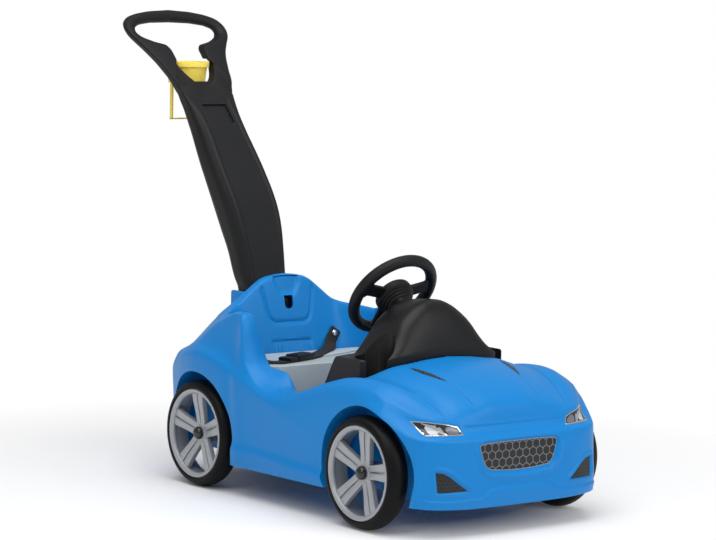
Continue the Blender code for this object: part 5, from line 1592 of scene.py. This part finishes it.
@dataclass
class Wheel:
    """One wheel: a plain black tyre on a grey rim with five split spokes and a domed cap."""

    place: str
    axle_y: float
    sign: int
    turn: float
    rim_radius: float = 0.0871
    hub_face: float = -0.015
    slim: float = 0.8
    steps: int = 120

    def stand(self, bm: BMesh) -> BMesh:
        """Stand a piece on the axle, its local Z pointing outwards."""
        way = Vector((self.sign, 0, 0))
        return moved(bm, frame_on(car(WHEEL_FACE_X * self.sign, self.axle_y, WHEEL_RADIUS), way))

    def ride(self, part: str, bm: BMesh, finish: Finish, slot: str, sharp: float) -> None:
        """Finish one piece of the wheel and put it on the wheel's body.

        Args:
            part: The piece's plain name.
            bm: Its mesh about the wheel's own centre.
            finish: Its finish.
            slot: The record's material slot.
            sharp: The angle above which an edge stays sharp.
        """
        item = finished(f"{part}_{self.place}_fine", self.stand(bm), finish, sharp)
        seat_piece(item, f"wheel_{self.place}" if part != "cap" else "car", slot,
                   {"tyre": "tyre", "rim": "rim", "cap": "hub_cap"}[part] + f"_{self.place}")

    def tyre(self) -> BMesh:
        """Build the tyre about the wheel's own centre."""
        outer = [Vector((r, 0, h * self.slim)) for r, h in (
            (0.0876, -0.0012), (0.0892, 0.0), (0.0925, -0.0002), (0.0965, -0.0022), (0.1003, -0.0075),
            (0.1031, -0.016), (0.1045, -0.025), (0.104, -0.035), (0.1012, -0.045), (0.0962, -0.053),
            (0.0925, -0.0556), (0.0876, -0.0545))]
        return lathe([(p.x, p.z) for p in refined(outer, 3)], self.steps)

    def rim(self) -> BMesh:
        """Build the rim with its spokes and hub.

        Returns:
            Its mesh about the wheel's own centre.
        """
        edge = self.rim_radius
        face = [(edge, -0.0022), (edge - 0.0012, -0.0004), (edge - 0.003, 0.0), (edge - 0.0062, -0.0012),
                (edge - 0.0092, -0.0044), (edge - 0.0098, -0.0085), (edge - 0.0086, -0.0105),
                (edge - 0.0052, -0.0125), (edge - 0.0044, -0.018), (edge - 0.004, -0.043), (edge, -0.043)]
        barrel = lathe(curved_profile(face, 0.0012, 3), self.steps)
        for vert in barrel.verts:
            radius = math.hypot(vert.co.x, vert.co.y)
            angle = math.atan2(vert.co.y, vert.co.x) * 30 / math.tau
            dent = bump(0.5, 0.28, angle % 1.0) * bump(edge - 0.0072, 0.0034, radius)
            vert.co.z -= 0.0012 * (dent * ease(-0.008, -0.006, vert.co.z))
        arms = [self.arm(math.tau / 5 * k) for k in range(5)]
        hub = lathe(curved_profile([(0.0052, self.hub_face - 0.001), (0.015, self.hub_face),
                                    (0.0186, self.hub_face - 0.0035), (0.0205, self.hub_face - 0.012),
                                    (0.0175, -0.066), (0.0052, -0.066)], 0.0015, 3), 64)
        whole = joined(barrel, hub, *arms)
        return turned(whole, math.radians(self.turn))

    def arm(self, angle: float) -> BMesh:
        """Build one split spoke: two bars with a lower web between them.

        Args:
            angle: Where the spoke points.

        Returns:
            Its mesh about the wheel's own centre.
        """
        inner, outer = 0.013, self.rim_radius - 0.0075
        bars = []
        for side, low, wide, lift in ((-1, 0.0, 0.0072, 0.0), (1, 0.0, 0.0072, 0.0),
                                      (0, 0.012, 0.0048, -0.004)):
            bar = brick(Vector((inner + low, -1, -0.011)), Vector((outer, 1, 0.0)))
            bmesh.ops.subdivide_edges(bar, edges=long_edges(bar, 0.01), cuts=6, use_grid_fill=True)
            for vert in bar.verts:
                share = (vert.co.x - inner) / (outer - inner)
                half = wide * (0.74 + 0.26 * share + 0.16 * (share * 2 - 1) ** 2)
                vert.co.y = half * (1 if vert.co.y > 0 else -1) + side * 0.0098 * (0.66 + 0.34 * share)
                vert.co.z += self.hub_face - 0.0012 + 0.0095 * ease(0.0, 1.0, share) + lift
            soften(bar, [e for e in long_edges(bar, 0.004) if e.calc_face_angle(0.0) > 0.8], 0.0011, 3)
            bars.append(bar)
        return turned(joined(*bars), angle)

    def cap(self) -> BMesh:
        """Build the domed cap on the axle's end.

        Returns:
            Its mesh about the wheel's own centre.
        """
        start = self.hub_face + 0.0026
        dome = [(radius, start + height) for radius, height in mm(
            0, 10.5, 3.5, 10.2, 6.6, 9.2, 9.4, 7.4, 11.5, 4.8, 12.5, 2.2, 12.6, 0.2)]
        return lathe(dome + [(0.0055, start + 0.0002), (0.0055, start + 0.0076), (0.0, start + 0.0076)], 48)

    def build(self) -> None:
        """Build the whole wheel."""
        self.ride("tyre", self.tyre(), Finish.TYRE, "tyre_plastic", 40.0)
        self.ride("rim", self.rim(), Finish.RIM, "rim_silver", 35.0)
        self.ride("cap", self.cap(), Finish.GLOSS, "black_gloss", 40.0)


@dataclass
class PushHandle:
    """The folding push handle: a tapering shank and the loop that an adult holds."""

    sweep: float = 0.3995
    reach: float = 1.06
    lean: float = 0.96
    depth: float = 0.027
    foot_radius: float = 0.026
    stations: int = 168

    def faces_at(self, z: float) -> tuple[float, float]:
        """Read where the handle's front and rear faces lie.

        Args:
            z: The height.

        Returns:
            The front and the rear, from the datum line: the shank's below, the leaning plate's above.
        """
        front, rear = (PIVOT_Y + smooth_through([(row[0], row[k]) for row in SHANK], z) * self.sweep
                       for k in (1, 2))
        plate = self.reach - 0.006 - (0.925 - z) * self.lean
        share = ease(0.728, 0.805, z)
        return front + (plate - self.depth - front) * share, rear + (plate - rear) * share

    def section(self, half: float, front: float, rear: float, z: float) -> Outline:
        """Return the shank's outline at one height.

        Args:
            half: Its half width.
            front: Its front, from the datum line.
            rear: Its rear.
            z: The height, which sets how sharp its edges and how deep its front panel are.

        Returns:
            The closed outline, with its corners rounded.
        """
        depth = rear - front
        slope = 1 - ease(0.7, 0.757, z)
        sunk = 0.0022 * ease(0.345, 0.372, z) * (1 - ease(0.738, 0.7445, z))
        side = [(half - 0.025, front + sunk), (half - 0.0212, front + sunk), (half - 0.0188, front),
                (half - 0.004 - 0.0085 * slope, front),
                (half - 0.0008 - 0.0022 * slope, front + 0.002 + (depth * 0.2 - 0.002) * slope),
                (half, front + 0.006 + (depth * 0.38 - 0.006) * slope), (half, rear - depth * 0.22),
                (half - 0.004, rear - depth * 0.05), (half - 0.011, rear)]
        return curved_profile(side + [(-x, y) for x, y in reversed(side)], 0.0036, 4)

    def shank(self) -> BMesh:
        """Build the shank.

        Returns:
            Its mesh in the frame.
        """
        rings: Rows = []
        for z in finer([row[0] for row in SHANK] + [0.778], 4):
            half = smooth_through(SHANK_HALF, z)
            front, rear = self.faces_at(z)
            hidden = 0.0012 * ease(0.7505, 0.76, z)
            outline = self.section(half - hidden, front + hidden, rear - hidden, z)
            rings.append([car(x, y, z) for x, y in outline])
        return loft(rings)

    def across(self, outer: Vector, inner: Vector) -> list[Vector]:
        """Shape one section of the loop, flat low down and round where it is held.

        Args:
            outer: Its place on the loop's outline, as x and z.
            inner: Its place on the opening's outline.

        Returns:
            The section's ring of points in the frame.
        """
        middle = (outer + inner) / 2
        wide, half = (inner - outer).length, self.depth / 2
        grip = ease(0.825, 0.885, middle.y)
        corner = min(0.0045 + 0.0085 * grip, wide * 0.49, half * 0.97)
        ring = []
        for turn, (along, deep) in enumerate(((corner, corner - half), (wide - corner, corner - half),
                                              (wide - corner, half - corner), (corner, half - corner))):
            for k in range(6):
                angle = math.radians(180 + 90 * turn + 18 * k)
                share = (along + corner * math.cos(angle)) / wide
                spot = outer.lerp(inner, share)
                front, rear = self.faces_at(spot.y + (middle.y - spot.y) * grip)
                hidden = 0.0012 * (1 - ease(0.752, 0.761, spot.y))
                depth = (deep + corner * math.sin(angle)) / half * ((rear - front) / 2 - hidden)
                y = (front + rear) / 2 + depth
                ring.append(car(spot.x, y, spot.y))
        return ring

    def loop(self) -> BMesh:
        """Build the loop that leans back above the shank.

        Returns:
            Its mesh in the frame.
        """
        outer = spaced(curved_profile(both_sides([(0.0, 0.733), *LOOP_OUTER]), 0.01, 5), self.stations)
        inner = spaced(curved_profile(both_sides(LOOP_INNER), 0.0045, 4), self.stations)
        rings = [self.across(Vector(a), Vector(b)) for a, b in zip(outer, inner)]
        return closed(loft(rings + rings[:1], False))

    def build(self) -> None:
        """Build the handle's pieces and cut their holes."""
        shank = finished("handle_shank", self.shank(), Finish.BLACK, 32.0)
        cut(shank, joined(brick(car(-0.0105, 0.62, 0.341), car(0.0105, 0.6561, 0.361)), self.panel()))
        seat_piece(modified(shank, 32.0), "handle", "black_plastic", "push_handle")
        foot = rod(self.foot_radius, car(-0.047, PIVOT_Y, PIVOT_Z), car(0.047, PIVOT_Y, PIVOT_Z), 64)
        stop = brick(car(-0.03, 0.6266, 0.296), car(0.03, 0.65, 0.314), 0.002)
        knuckle = finished("handle_foot", joined(foot, stop), Finish.BLACK, 32.0)
        cut(knuckle, rod(BORE_RADIUS, car(-0.06, PIVOT_Y, PIVOT_Z), car(0.06, PIVOT_Y, PIVOT_Z), 24))
        seat_piece(modified(knuckle, 32.0), "handle", "black_plastic", "push_handle")
        loop = finished("handle_loop", self.loop(), Finish.BLACK, 32.0)
        ring = lathe(mm(0, 750, 43.4, 750, 43.4, 806.4, 48.2, 806.4, 48.2, 819.1, 0, 819.1), 96)
        cut(loop, moved(ring, Matrix.Translation(car(0, HOLDER_Y, 0))))
        cut(loop, brick(car(-0.0562, HOLDER_Y - 0.0125, 0.8062), car(0.0562, HOLDER_Y + 0.0125, 0.824)))
        seat_piece(modified(loop, 32.0), "handle", "black_plastic", "push_handle")

    def panel(self) -> BMesh:
        """Return the cutter of the shallow recess on the shank's front face.

        Returns:
            A rounded plate that lies in the face.
        """
        low, high, half = 0.697, 0.7335, 0.03
        plate = slab(curved_profile([(-half, -0.5), (half, -0.5), (half, 0.5), (-half, 0.5)], 0.0045, 6),
                     -0.0052, 0.006, "Z")
        curve = [(row[0], PIVOT_Y + row[1] * self.sweep) for row in SHANK]
        a = car(0, smooth_through(curve, low), low)
        b = car(0, smooth_through(curve, high), high)
        length = (b - a).length
        up = (b - a).normalized()
        side = Vector((1, 0, 0))
        way = side.cross(up)
        turn = Matrix((side, up, way)).transposed().to_4x4()
        for vert in plate.verts:
            vert.co.y *= length
        return moved(plate, Matrix.Translation((a + b) / 2) @ turn)


def on_column(distance: float) -> Vector:
    """Return the point of the steering axis that lies this far towards the driver."""
    way = Vector((0, math.sin(STEERING_TILT), math.cos(STEERING_TILT)))
    return car(0, STEERING_Y, STEERING_Z) + way * distance


DOME = ((0.0, 1.0), (0.02, 0.985), (0.04, 0.915), (0.062, 0.77), (0.08, 0.615), (0.1, 0.345),
               (0.118, 0.12), (0.133, 0.0), (0.2, 0.0))
DOME_RISE = ((0.074, 0.0), (0.08, 0.26), (0.088, 0.56), (0.1, 0.85), (0.112, 0.97), (0.126, 1.0),
                    (0.15, 0.99), (0.186, 0.94))


@dataclass
class DashConsole:
    """The black dash: a dome that carries the steering, and a cup well on each side."""

    inset: float = 0.0064
    corner: float = 0.008
    rear: float = 0.187
    ledge: float = 0.297
    shelf: float = 0.2363
    rise: float = 0.1
    wall: float = 0.0034
    cup_x: float = 0.13
    cup_y: float = 0.122
    cup_radius: float = 0.037
    cup_depth: float = 0.052

    def edge(self, y: float) -> float:
        """Return the dash's half width at a place along the car."""
        return smooth_through(LIP_X, y) - self.inset

    def rows(self) -> Rows:
        """Work out the top surface of the left half.

        Returns:
            Its rows, from the cowl to the rear edge.
        """
        shares = finer((0.0, 0.12, 0.24, 0.36, 0.47, 0.58, 0.69, 0.78, 0.9, 0.97, 1.0), 4)
        steps = finer((0.0, 0.04, 0.09, 0.15, 0.23, 0.34, 0.5, 0.75, 0.95, 1.0), 3)
        rows = []
        for step in steps:
            row = []
            for share in shares:
                y, x = 0.1, 0.0
                for _ in range(6):
                    x = share * self.edge(y)
                    start = cowl_line(x) + self.inset + self.corner * share ** 4
                    y = start + (self.rear - start) * step
                high = smooth_through(DOME, x) * smooth_through(DOME_RISE, y)
                drop = (0.004 * share ** 8 + 0.003 * max(0.0, 1 - step / 0.05)
                        + 0.0025 * ease(0.94, 1.0, step))
                row.append(Vector((x, y, self.ledge + self.rise * high - drop)))
            rows.append(row)
        return rows

    def walls(self, edge: Sequence[Vector]) -> Rows:
        """Work out the walls below the dash's border.

        Args:
            edge: The border, from the cowl round the left side to the rear.

        Returns:
            The rings from the border down to the bottom edge.
        """
        normals = plan_normals(edge)
        rings = [list(edge)]
        for share in (0.05, 0.2, 0.4, 0.6, 0.8, 1.0):
            ring = []
            for point, normal in zip(edge, normals):
                out = 0.002 * min(1.0, share / 0.06) + 0.03 * max(0.0, normal.y) ** 2 * share
                place = point + normal * (out if normal.y > 0.3 else 0.0)
                x = min(max(place.x, 0.0), self.edge(place.y) - 0.0004)
                ring.append(Vector((x, place.y, point.z + (self.shelf - point.z) * share)))
            ring[0].x = 0.0
            ring[-1].x = 0.0
            rings.append(ring)
        return rings

    def surface(self, closed: bool) -> BMesh:
        """Build the dash's outer surface.

        Args:
            closed: Whether its open bottom is filled.

        Returns:
            The surface, both halves, in the frame.
        """
        rows = self.rows()
        edge = [rows[i][j] for i, j in border(rows)]
        bm = joined(laid(rows), laid(self.walls(edge), True))
        bmesh.ops.remove_doubles(bm, verts=bm.verts, dist=0.0001)
        doubled(bm)
        if closed:
            bmesh.ops.holes_fill(bm, edges=bm.edges, sides=0)
            bmesh.ops.triangulate(bm, faces=bm.faces)
        face_outwards(bm, car(0.02, 0.14, 0.39))
        return bm

    def build(self) -> None:
        """Build the dash with its cup wells and steering boss."""
        item = finished("dash_moulding", self.surface(False), Finish.DASH, 32.0)
        thick = item.modifiers.new("Wall", "SOLIDIFY")
        thick.thickness = self.wall
        thick.offset = -1.0
        thick.use_even_offset = True
        modified(item)
        form = self.surface(True)
        form.normal_update()
        for vert, way in [(vert, vert.normal.copy()) for vert in form.verts]:
            vert.co -= way * self.wall / 2
        solid = finished("dash_form", form, Finish.DASH)
        low = self.ledge - self.cup_depth
        wells = joined(*[rod(self.cup_radius + 0.003, car(self.cup_x * s, self.cup_y, low - 0.003),
                             car(self.cup_x * s, self.cup_y, 0.42), 96) for s in (1, -1)])
        cut(item, inside(wells, solid), "UNION")
        cut(item, rod(0.025, on_column(-0.09), on_column(-0.033), 64), "UNION")
        cut(item, joined(*[rod(self.cup_radius, car(self.cup_x * s, self.cup_y, low),
                               car(self.cup_x * s, self.cup_y, 0.44), 96) for s in (1, -1)]))
        cut(item, rod(0.0111, on_column(-0.12), on_column(-0.01), 32))
        bpy.data.objects.remove(solid, do_unlink=True)
        edges = item.modifiers.new("Rounded edges", "BEVEL")
        edges.width = 0.0009
        edges.segments = 2
        edges.limit_method = "ANGLE"
        edges.angle_limit = math.radians(50)
        seat_piece(modified(item, 30.0), "car", "black_gloss", "dash_console")


@dataclass
class Steering:
    """The steering wheel with its horn button."""

    radius: float = 0.084
    tube: float = 0.0115

    def stand(self, bm: BMesh) -> BMesh:
        """Place a piece on the steering axis, its local Z towards the driver."""
        return moved(bm, frame_on(on_column(0.0), on_column(1.0) - on_column(0.0)))

    def rim(self) -> BMesh:
        """Build the rim: round outside, a little flatter inside.

        Returns:
            Its mesh about the wheel's own centre.
        """
        ring = []
        for k in range(24):
            angle = math.tau * k / 24
            ring.append((self.radius + self.tube * math.cos(angle) * (0.92 if math.cos(angle) < 0 else 1.0),
                         self.tube * math.sin(angle)))
        return lathe(ring, 128)

    def spoke(self, angle: float, half: float) -> BMesh:
        """Build one spoke, which widens where it meets the rim and the hub.

        Args:
            angle: Where it points.
            half: Its half width.

        Returns:
            Its mesh about the wheel's own centre.
        """
        bar = brick(Vector((0.02, -1, -0.0075)), Vector((self.radius - 0.002, 1, 0.001)))
        bmesh.ops.subdivide_edges(bar, edges=long_edges(bar, 0.01), cuts=12, use_grid_fill=True)
        for vert in bar.verts:
            share = (vert.co.x - 0.02) / (self.radius - 0.022)
            wide = half * (1 + 0.55 * abs(share * 2 - 1) ** 4)
            vert.co.y = wide if vert.co.y > 0 else -wide
        soften(bar, [e for e in long_edges(bar, 0.002) if e.calc_face_angle(0.0) > 0.8], 0.0026, 4)
        return turned(bar, math.radians(angle))

    def hub(self) -> BMesh:
        """Build the hub: a collar of steps behind, and the horn's well in front."""
        line = mm(0, -12, 22.6, -12, 22.6, 3, 23.8, 4.2, 34.5, 3.4, 37.5, 0.2, 38.2, -13, 36.5, -16.5,
                  34, -17.2, 33.2, -21.2, 30, -22.2, 29.2, -26.2, 26.2, -27, 25.4, -30.8, 23.2, -32.2,
                  0, -32.2)
        return lathe(curved_profile(line, 0.001, 3), 96)

    def build(self) -> None:
        """Build the steering wheel and the horn button."""
        spokes = [self.spoke(angle, half) for angle, half in ((165, 0.0125), (15, 0.0125), (270, 0.018))]
        whole = joined(self.rim(), self.hub(), *spokes)
        item = finished("steering_wheel_fine", self.stand(whole), Finish.BLACK, 35.0)
        seat_piece(item, "steering", "black_plastic", "steering_wheel")
        face = mm(0, 9, 6, 8.8, 12, 8.1, 17.5, 6.9, 20.5, 5.5, 21.9, 3.2, 22, -7, 0, -7)
        horn = finished("horn_button_fine", self.stand(lathe(face, 64)), Finish.DARK, 35.0)
        seat_piece(horn, "horn", "horn_grey", "horn_button")


@dataclass
class SeatAndBelt:
    """The light grey seat, and the lap belt that lies on it."""

    front: float = 0.3815
    top: float = 0.25
    shelf: float = 0.2363
    inset: float = 0.0088
    strap_width: float = 0.025
    strap_thick: float = 0.0017
    lean: float = 0.17

    def seat(self) -> None:
        """Build the seat with its front apron."""
        stations = (self.front, 0.386, 0.392, 0.398, 0.404, 0.412, 0.425, 0.455, 0.495, 0.52, 0.53)
        side = [(smooth_through(LIP_X, y) - self.inset, y + DATUM_Y) for y in finer(stations, 3)]
        back = 0.543 + DATUM_Y
        outline = both_sides([(0.0, self.front + DATUM_Y)] + side + [(0.15, back), (0.0, back)])
        plate = slab(outline, self.shelf, self.top, "Z")
        lid = [f for f in plate.faces if f.normal.z > 0.9]
        bmesh.ops.inset_region(plate, faces=lid, thickness=0.017, depth=0.0)
        bmesh.ops.translate(plate, vec=(0, 0, -0.0014), verts=list({v for f in lid for v in f.verts}))
        rim = [e for e in plate.edges if all(abs(v.co.z - self.top) < 0.0001 for v in e.verts)
               and e.calc_face_angle(0.0) > 0.7]
        soften(plate, rim, 0.0034, 4)
        apron = brick(car(-0.16, self.front - 0.002, 0.0853),
                      car(0.16, self.front + 0.0035, self.top - 0.001), 0.0012, 2)
        item = finished("seat_moulding", joined(plate, apron), Finish.SEAT, 35.0)
        seat_piece(item, "car", "seat_grey", "seat_pan")

    def strap(self, side: str, points: Sequence[Vector], faces: Sequence[Vector]) -> None:
        """Build one strap of webbing.

        Args:
            side: The side's name.
            points: The strap's middle line.
            faces: The way its flat side looks at each of those points.
        """
        line = refined(points, 10)
        looks = refined([p * 0.05 for p in faces], 10)
        rows = []
        for index, point in enumerate(line):
            along = (line[min(index + 1, len(line) - 1)] - line[max(index - 1, 0)]).normalized()
            across = along.cross(looks[index].normalized()).normalized()
            rows.append([point + across * self.strap_width * (k / 6 - 0.5) for k in range(7)])
        bm = sheet_of(rows)
        layer = bm.loops.layers.uv.new("UVMap")
        walked = [0.0]
        for a, b in zip(line[:-1], line[1:]):
            walked.append(walked[-1] + (b - a).length)
        place = {tuple(round(c, 6) for c in point): (walked[i], (k / 6) * self.strap_width)
                 for i, row in enumerate(rows) for k, point in enumerate(row)}
        for face in bm.faces:
            for corner in face.loops:
                corner[layer].uv = place[tuple(round(c, 6) for c in corner.vert.co)]
        item = finished(f"strap_{side}_webbing", bm, Finish.STRAP, 60.0)
        thick = item.modifiers.new("Thickness", "SOLIDIFY")
        thick.thickness = self.strap_thick
        thick.offset = 0.0
        seat_piece(item, "car", "webbing", f"belt_strap_{side}")

    def belt(self) -> None:
        """Build both straps, the buckle and its tongue."""
        low = self.top + 0.0006 + self.strap_thick / 2
        start, end = Vector((-0.04, 0.452)), Vector((-0.116, 0.425))
        along = (end - start).normalized()
        near = [start - along * 0.02, start + along * 0.007]
        far = [end + along * 0.014, end - along * 0.007]
        paths = {"left": [(0.084, 0.544, 0.2575), (0.062, 0.527, low + 0.0005), (0.02, 0.495, low),
                          *[(p.x, p.y, low) for p in near]],
                 "right": [(-0.107, 0.542, 0.2575), (-0.124, 0.518, low + 0.0005), (-0.146, 0.49, low),
                           (-0.15, 0.45, low), (-0.144, 0.428, low), *[(p.x, p.y, low) for p in far]]}
        look = Vector((0, -1, self.lean)).normalized()
        for side, sign in (("left", 1), ("right", -1)):
            anchor = car(0.105 * sign, 0.559, 0.28)
            rise = Vector((0.006 * sign, 0.008 * self.lean, 0.008))
            points = [anchor + rise, anchor, anchor - rise * 1.3] + [car(*p) for p in paths[side]]
            faces = [look] * 3 + [Vector((0, -0.5, 0.85))] + [Vector((0, 0, 1))] * (len(points) - 4)
            self.strap(side, points, faces)
            screw = lathe(mm(0, -10, 2.2, -10, 2.2, 1.3, 6.6, 1.3, 6.4, 2.4, 5, 3.7, 2.6, 4.3, 0, 4.5), 40)
            bmesh.ops.recalc_face_normals(screw, faces=screw.faces)
            item = finished(f"screw_{side}", moved(screw, frame_on(anchor, look)), Finish.STEEL, 40.0)
            seat_piece(item, "car", "steel", f"belt_screw_{side}")
        self.buckle(car(start.x, start.y, self.top + 0.0003), car(end.x, end.y, self.top + 0.0003))

    def buckle(self, start: Vector, end: Vector) -> None:
        """Build the side-release buckle and its tongue.

        Args:
            start: Where the buckle begins, on the seat.
            end: Where the tongue ends.
        """
        place = Matrix.Translation(start) @ (end - start).to_track_quat("X", "Z").to_matrix().to_4x4()
        length = (end - start).length
        split, half = length - 0.026, self.strap_width / 2
        body, ridge, tongue, blade, window = (
            brick(Vector((left, -wide, low)), Vector((right, wide, high)), rounding, steps)
            for left, right, wide, low, high, rounding, steps in (
                (0, split, half + 0.004, 0, 0.0115, 0.0024, 4),
                (0.006, split - 0.012, half - 0.002, 0.01, 0.0124, 0.001, 3),
                (split + 0.0006, length, half + 0.003, 0, 0.0085, 0.002, 4),
                (split - 0.004, split + 0.004, 0.009, 0.003, 0.006, 0.0005, 2),
                (split - 0.0105, split - 0.0045, half - 0.004, 0.008, 0.015, 0.0008, 2)))
        item = finished("buckle_body", joined(body, ridge), Finish.DASH, 35.0)
        cut(item, window)
        item.data.transform(place)
        seat_piece(item, "car", "black_plastic", "belt_buckle")
        other = finished("buckle_tongue", moved(joined(tongue, blade), place), Finish.DASH, 35.0)
        seat_piece(other, "car", "black_plastic", "belt_tongue")


@dataclass
class CupHolder:
    """The yellow cup holder that drops into the handle's loop."""

    radius: float = 0.0425
    top: float = 0.8185
    lip: float = 0.0045
    lip_height: float = 0.0115
    wall: float = 0.0024
    base: float = 0.697

    def build(self) -> None:
        """Build the lip, the tapered band, the ears and the hoop below."""
        under = self.top - self.lip_height
        line = [(self.radius - self.wall, self.top), (self.radius + self.lip, self.top),
                (self.radius + self.lip, under), (self.radius, under), (self.radius - 0.004, under - 0.034),
                (self.radius - 0.004 - self.wall, under - 0.034), (self.radius - self.wall, under)]
        ring = lathe(curved_profile(line, 0.0011, 4), 128)
        ring = moved(ring, Matrix.Translation(car(0, HOLDER_Y, 0)))
        item = finished("cup_ring", ring, Finish.YELLOW, 35.0)
        ears = brick(car(-0.0555, HOLDER_Y - 0.012, 0.8068),
                     car(0.0555, HOLDER_Y + 0.012, self.top - 0.0015), 0.0022, 3)
        cut(item, ears, "UNION")
        cut(item, rod(self.radius - self.wall, car(0, HOLDER_Y, under - 0.006),
                      car(0, HOLDER_Y, self.top + 0.01), 128))
        hoop = []
        for left, right, low, high in ((-0.0395, -0.0355, self.base, under - 0.02),
                                       (0.0355, 0.0395, self.base, under - 0.02),
                                       (-0.0395, 0.0395, self.base, self.base + 0.003)):
            hoop.append(brick(car(left, HOLDER_Y - 0.0045, low), car(right, HOLDER_Y + 0.0045, high),
                              0.001, 2))
        other = finished("cup_hoop", joined(*hoop), Finish.YELLOW, 35.0)
        seat_piece(item, "handle", "holder_yellow", "parent_cup_holder")
        seat_piece(other, "handle", "holder_yellow", "parent_cup_holder")


@dataclass
class KeptNodes:
    """The CAD nodes that stay as they are, and the finishes that they get."""

    nodes: dict[str, Item]

    def build(self) -> None:
        """Dress each node that is still shown."""
        looks = (("front_axle", Finish.STEEL), ("rear_axle", Finish.STEEL), ("handle_pin", Finish.STEEL),
                 ("handle_latch", Finish.DASH), ("steering_shaft", Finish.DARK),
                 ("steering_clip", Finish.STEEL),
                 *((f"wheel_bush_{end}_{side}", Finish.DARK) for end in ("front", "rear")
                   for side in ("left", "right")))
        for name, finish in looks:
            node = dress(self.nodes[name], finish)
            weld = node.modifiers.new("Weld", "WELD")
            weld.merge_threshold = WELD
            split = node.modifiers.new("Sharp edges", "EDGE_SPLIT")
            split.split_angle = math.radians(32)
            node.data.shade_smooth()
            LOG.info("%s: kept and dressed", name)


@dataclass
class Stage:
    """The pale floor, the soft lamps and the camera at the photo's angle."""

    azimuth: float = -37.603
    elevation: float = 5.627
    roll: float = 1.209
    lens: float = 135.7
    near: float = 0.45
    far: float = 1.15

    def floor(self) -> None:
        """Lay a pale floor that shows as plain white and keeps a soft shadow."""
        bm = bmesh.new()
        bmesh.ops.create_grid(bm, x_segments=1, y_segments=1, size=9.0)
        recipe = Recipe("floor_white")
        grain = recipe.noise(40.0, 2.0)
        recipe.surface(recipe.mix(grain, (0.93, 0.93, 0.93), (0.97, 0.97, 0.97)), 0.9)
        recipe.fade_to_white(self.near, self.far)
        mesh = bpy.data.meshes.new("floor")
        bm.to_mesh(mesh)
        bm.free()
        item = bpy.data.objects.new("floor", mesh)
        mesh.materials.append(recipe.material)
        bpy.context.scene.collection.objects.link(item)

    def sky(self) -> None:
        """Light the scene evenly, with a plain white backdrop behind the car."""
        studio = Recipe("studio", "worlds", "Background")
        bpy.context.scene.world = studio.material
        path = studio.node("ShaderNodeLightPath").outputs
        seen = Field(studio, path["Is Camera Ray"]).most(Field(studio, path["Is Transmission Ray"]))
        studio.feed(studio.shader, "Color", (0.84, 0.85, 0.88))
        studio.feed(studio.shader, "Strength", 0.5)
        white = studio.node("ShaderNodeBackground", None, Color=(1.0, 1.0, 1.0), Strength=1.0)
        both = studio.blend(seen, studio.shader, white)
        studio.feed(studio.tree.nodes["World Output"], "Surface", both)

    def lamps(self) -> None:
        """Set soft lamps: a broad one overhead, one at the camera's left and a weaker one at its right."""
        for name, place, size, power in (("overhead", (-0.5, -0.7, 2.9), 2.6, 62.0),
                                         ("key", (-2.9, -1.6, 2.3), 1.5, 16.0),
                                         ("fill", (1.2, -3.2, 1.9), 1.6, 26.0)):
            data = bpy.data.lights.new(name, "AREA")
            data.shape = "SQUARE"
            data.size = size
            data.energy = power
            lamp = bpy.data.objects.new(name, data)
            lamp.location = place
            lamp.rotation_euler = (Vector((0, 0, 0.3)) - Vector(place)).to_track_quat("-Z", "Y").to_euler()
            bpy.context.scene.collection.objects.link(lamp)

    def camera(self) -> None:
        """Stand the camera where the photo was taken from."""
        azimuth, elevation, roll = (math.radians(a) for a in (self.azimuth, self.elevation, self.roll))
        back = Vector((math.sin(azimuth) * math.cos(elevation), -math.cos(azimuth) * math.cos(elevation),
                       math.sin(elevation)))
        right = Vector((0, 0, 1)).cross(back).normalized()
        up = back.cross(right)
        side = math.cos(roll) * right + math.sin(roll) * up
        top = -math.sin(roll) * right + math.cos(roll) * up
        data = bpy.data.cameras.new("camera")
        data.lens = self.lens
        data.sensor_width = 36.0
        item = bpy.data.objects.new("camera", data)
        bpy.context.scene.collection.objects.link(item)
        turn = Matrix((side, top, back)).transposed().to_4x4()
        item.matrix_world = Matrix.Translation(car(-3.184, -3.786, 0.946)) @ turn
        bpy.context.scene.camera = item

    def build(self) -> None:
        """Build the stage and set how colours are shown."""
        self.floor()
        self.sky()
        self.lamps()
        self.camera()
        bpy.context.scene.view_settings.view_transform = "Standard"


def main() -> None:
    """Build every sub-assembly in order."""
    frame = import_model()
    shell = BodyShell().build()
    FrontPanels().build(shell)
    seat_piece(shell, "car", "body_blue", "body_shell")
    for end, axle_y, turn in (("front", FRONT_AXLE, 8.5), ("rear", REAR_AXLE, 18.0)):
        for side, sign in (("left", 1), ("right", -1)):
            Wheel(f"{end}_{side}", axle_y, sign, turn).build()
    PushHandle().build()
    DashConsole().build()
    Steering().build()
    cabin = SeatAndBelt()
    cabin.seat()
    cabin.belt()
    CupHolder().build()
    KeptNodes(frame["nodes"]).build()
    Stage().build()


if __name__ == "__main__":
    logging.basicConfig(level=logging.INFO, format="%(name)s: %(message)s")
    main()
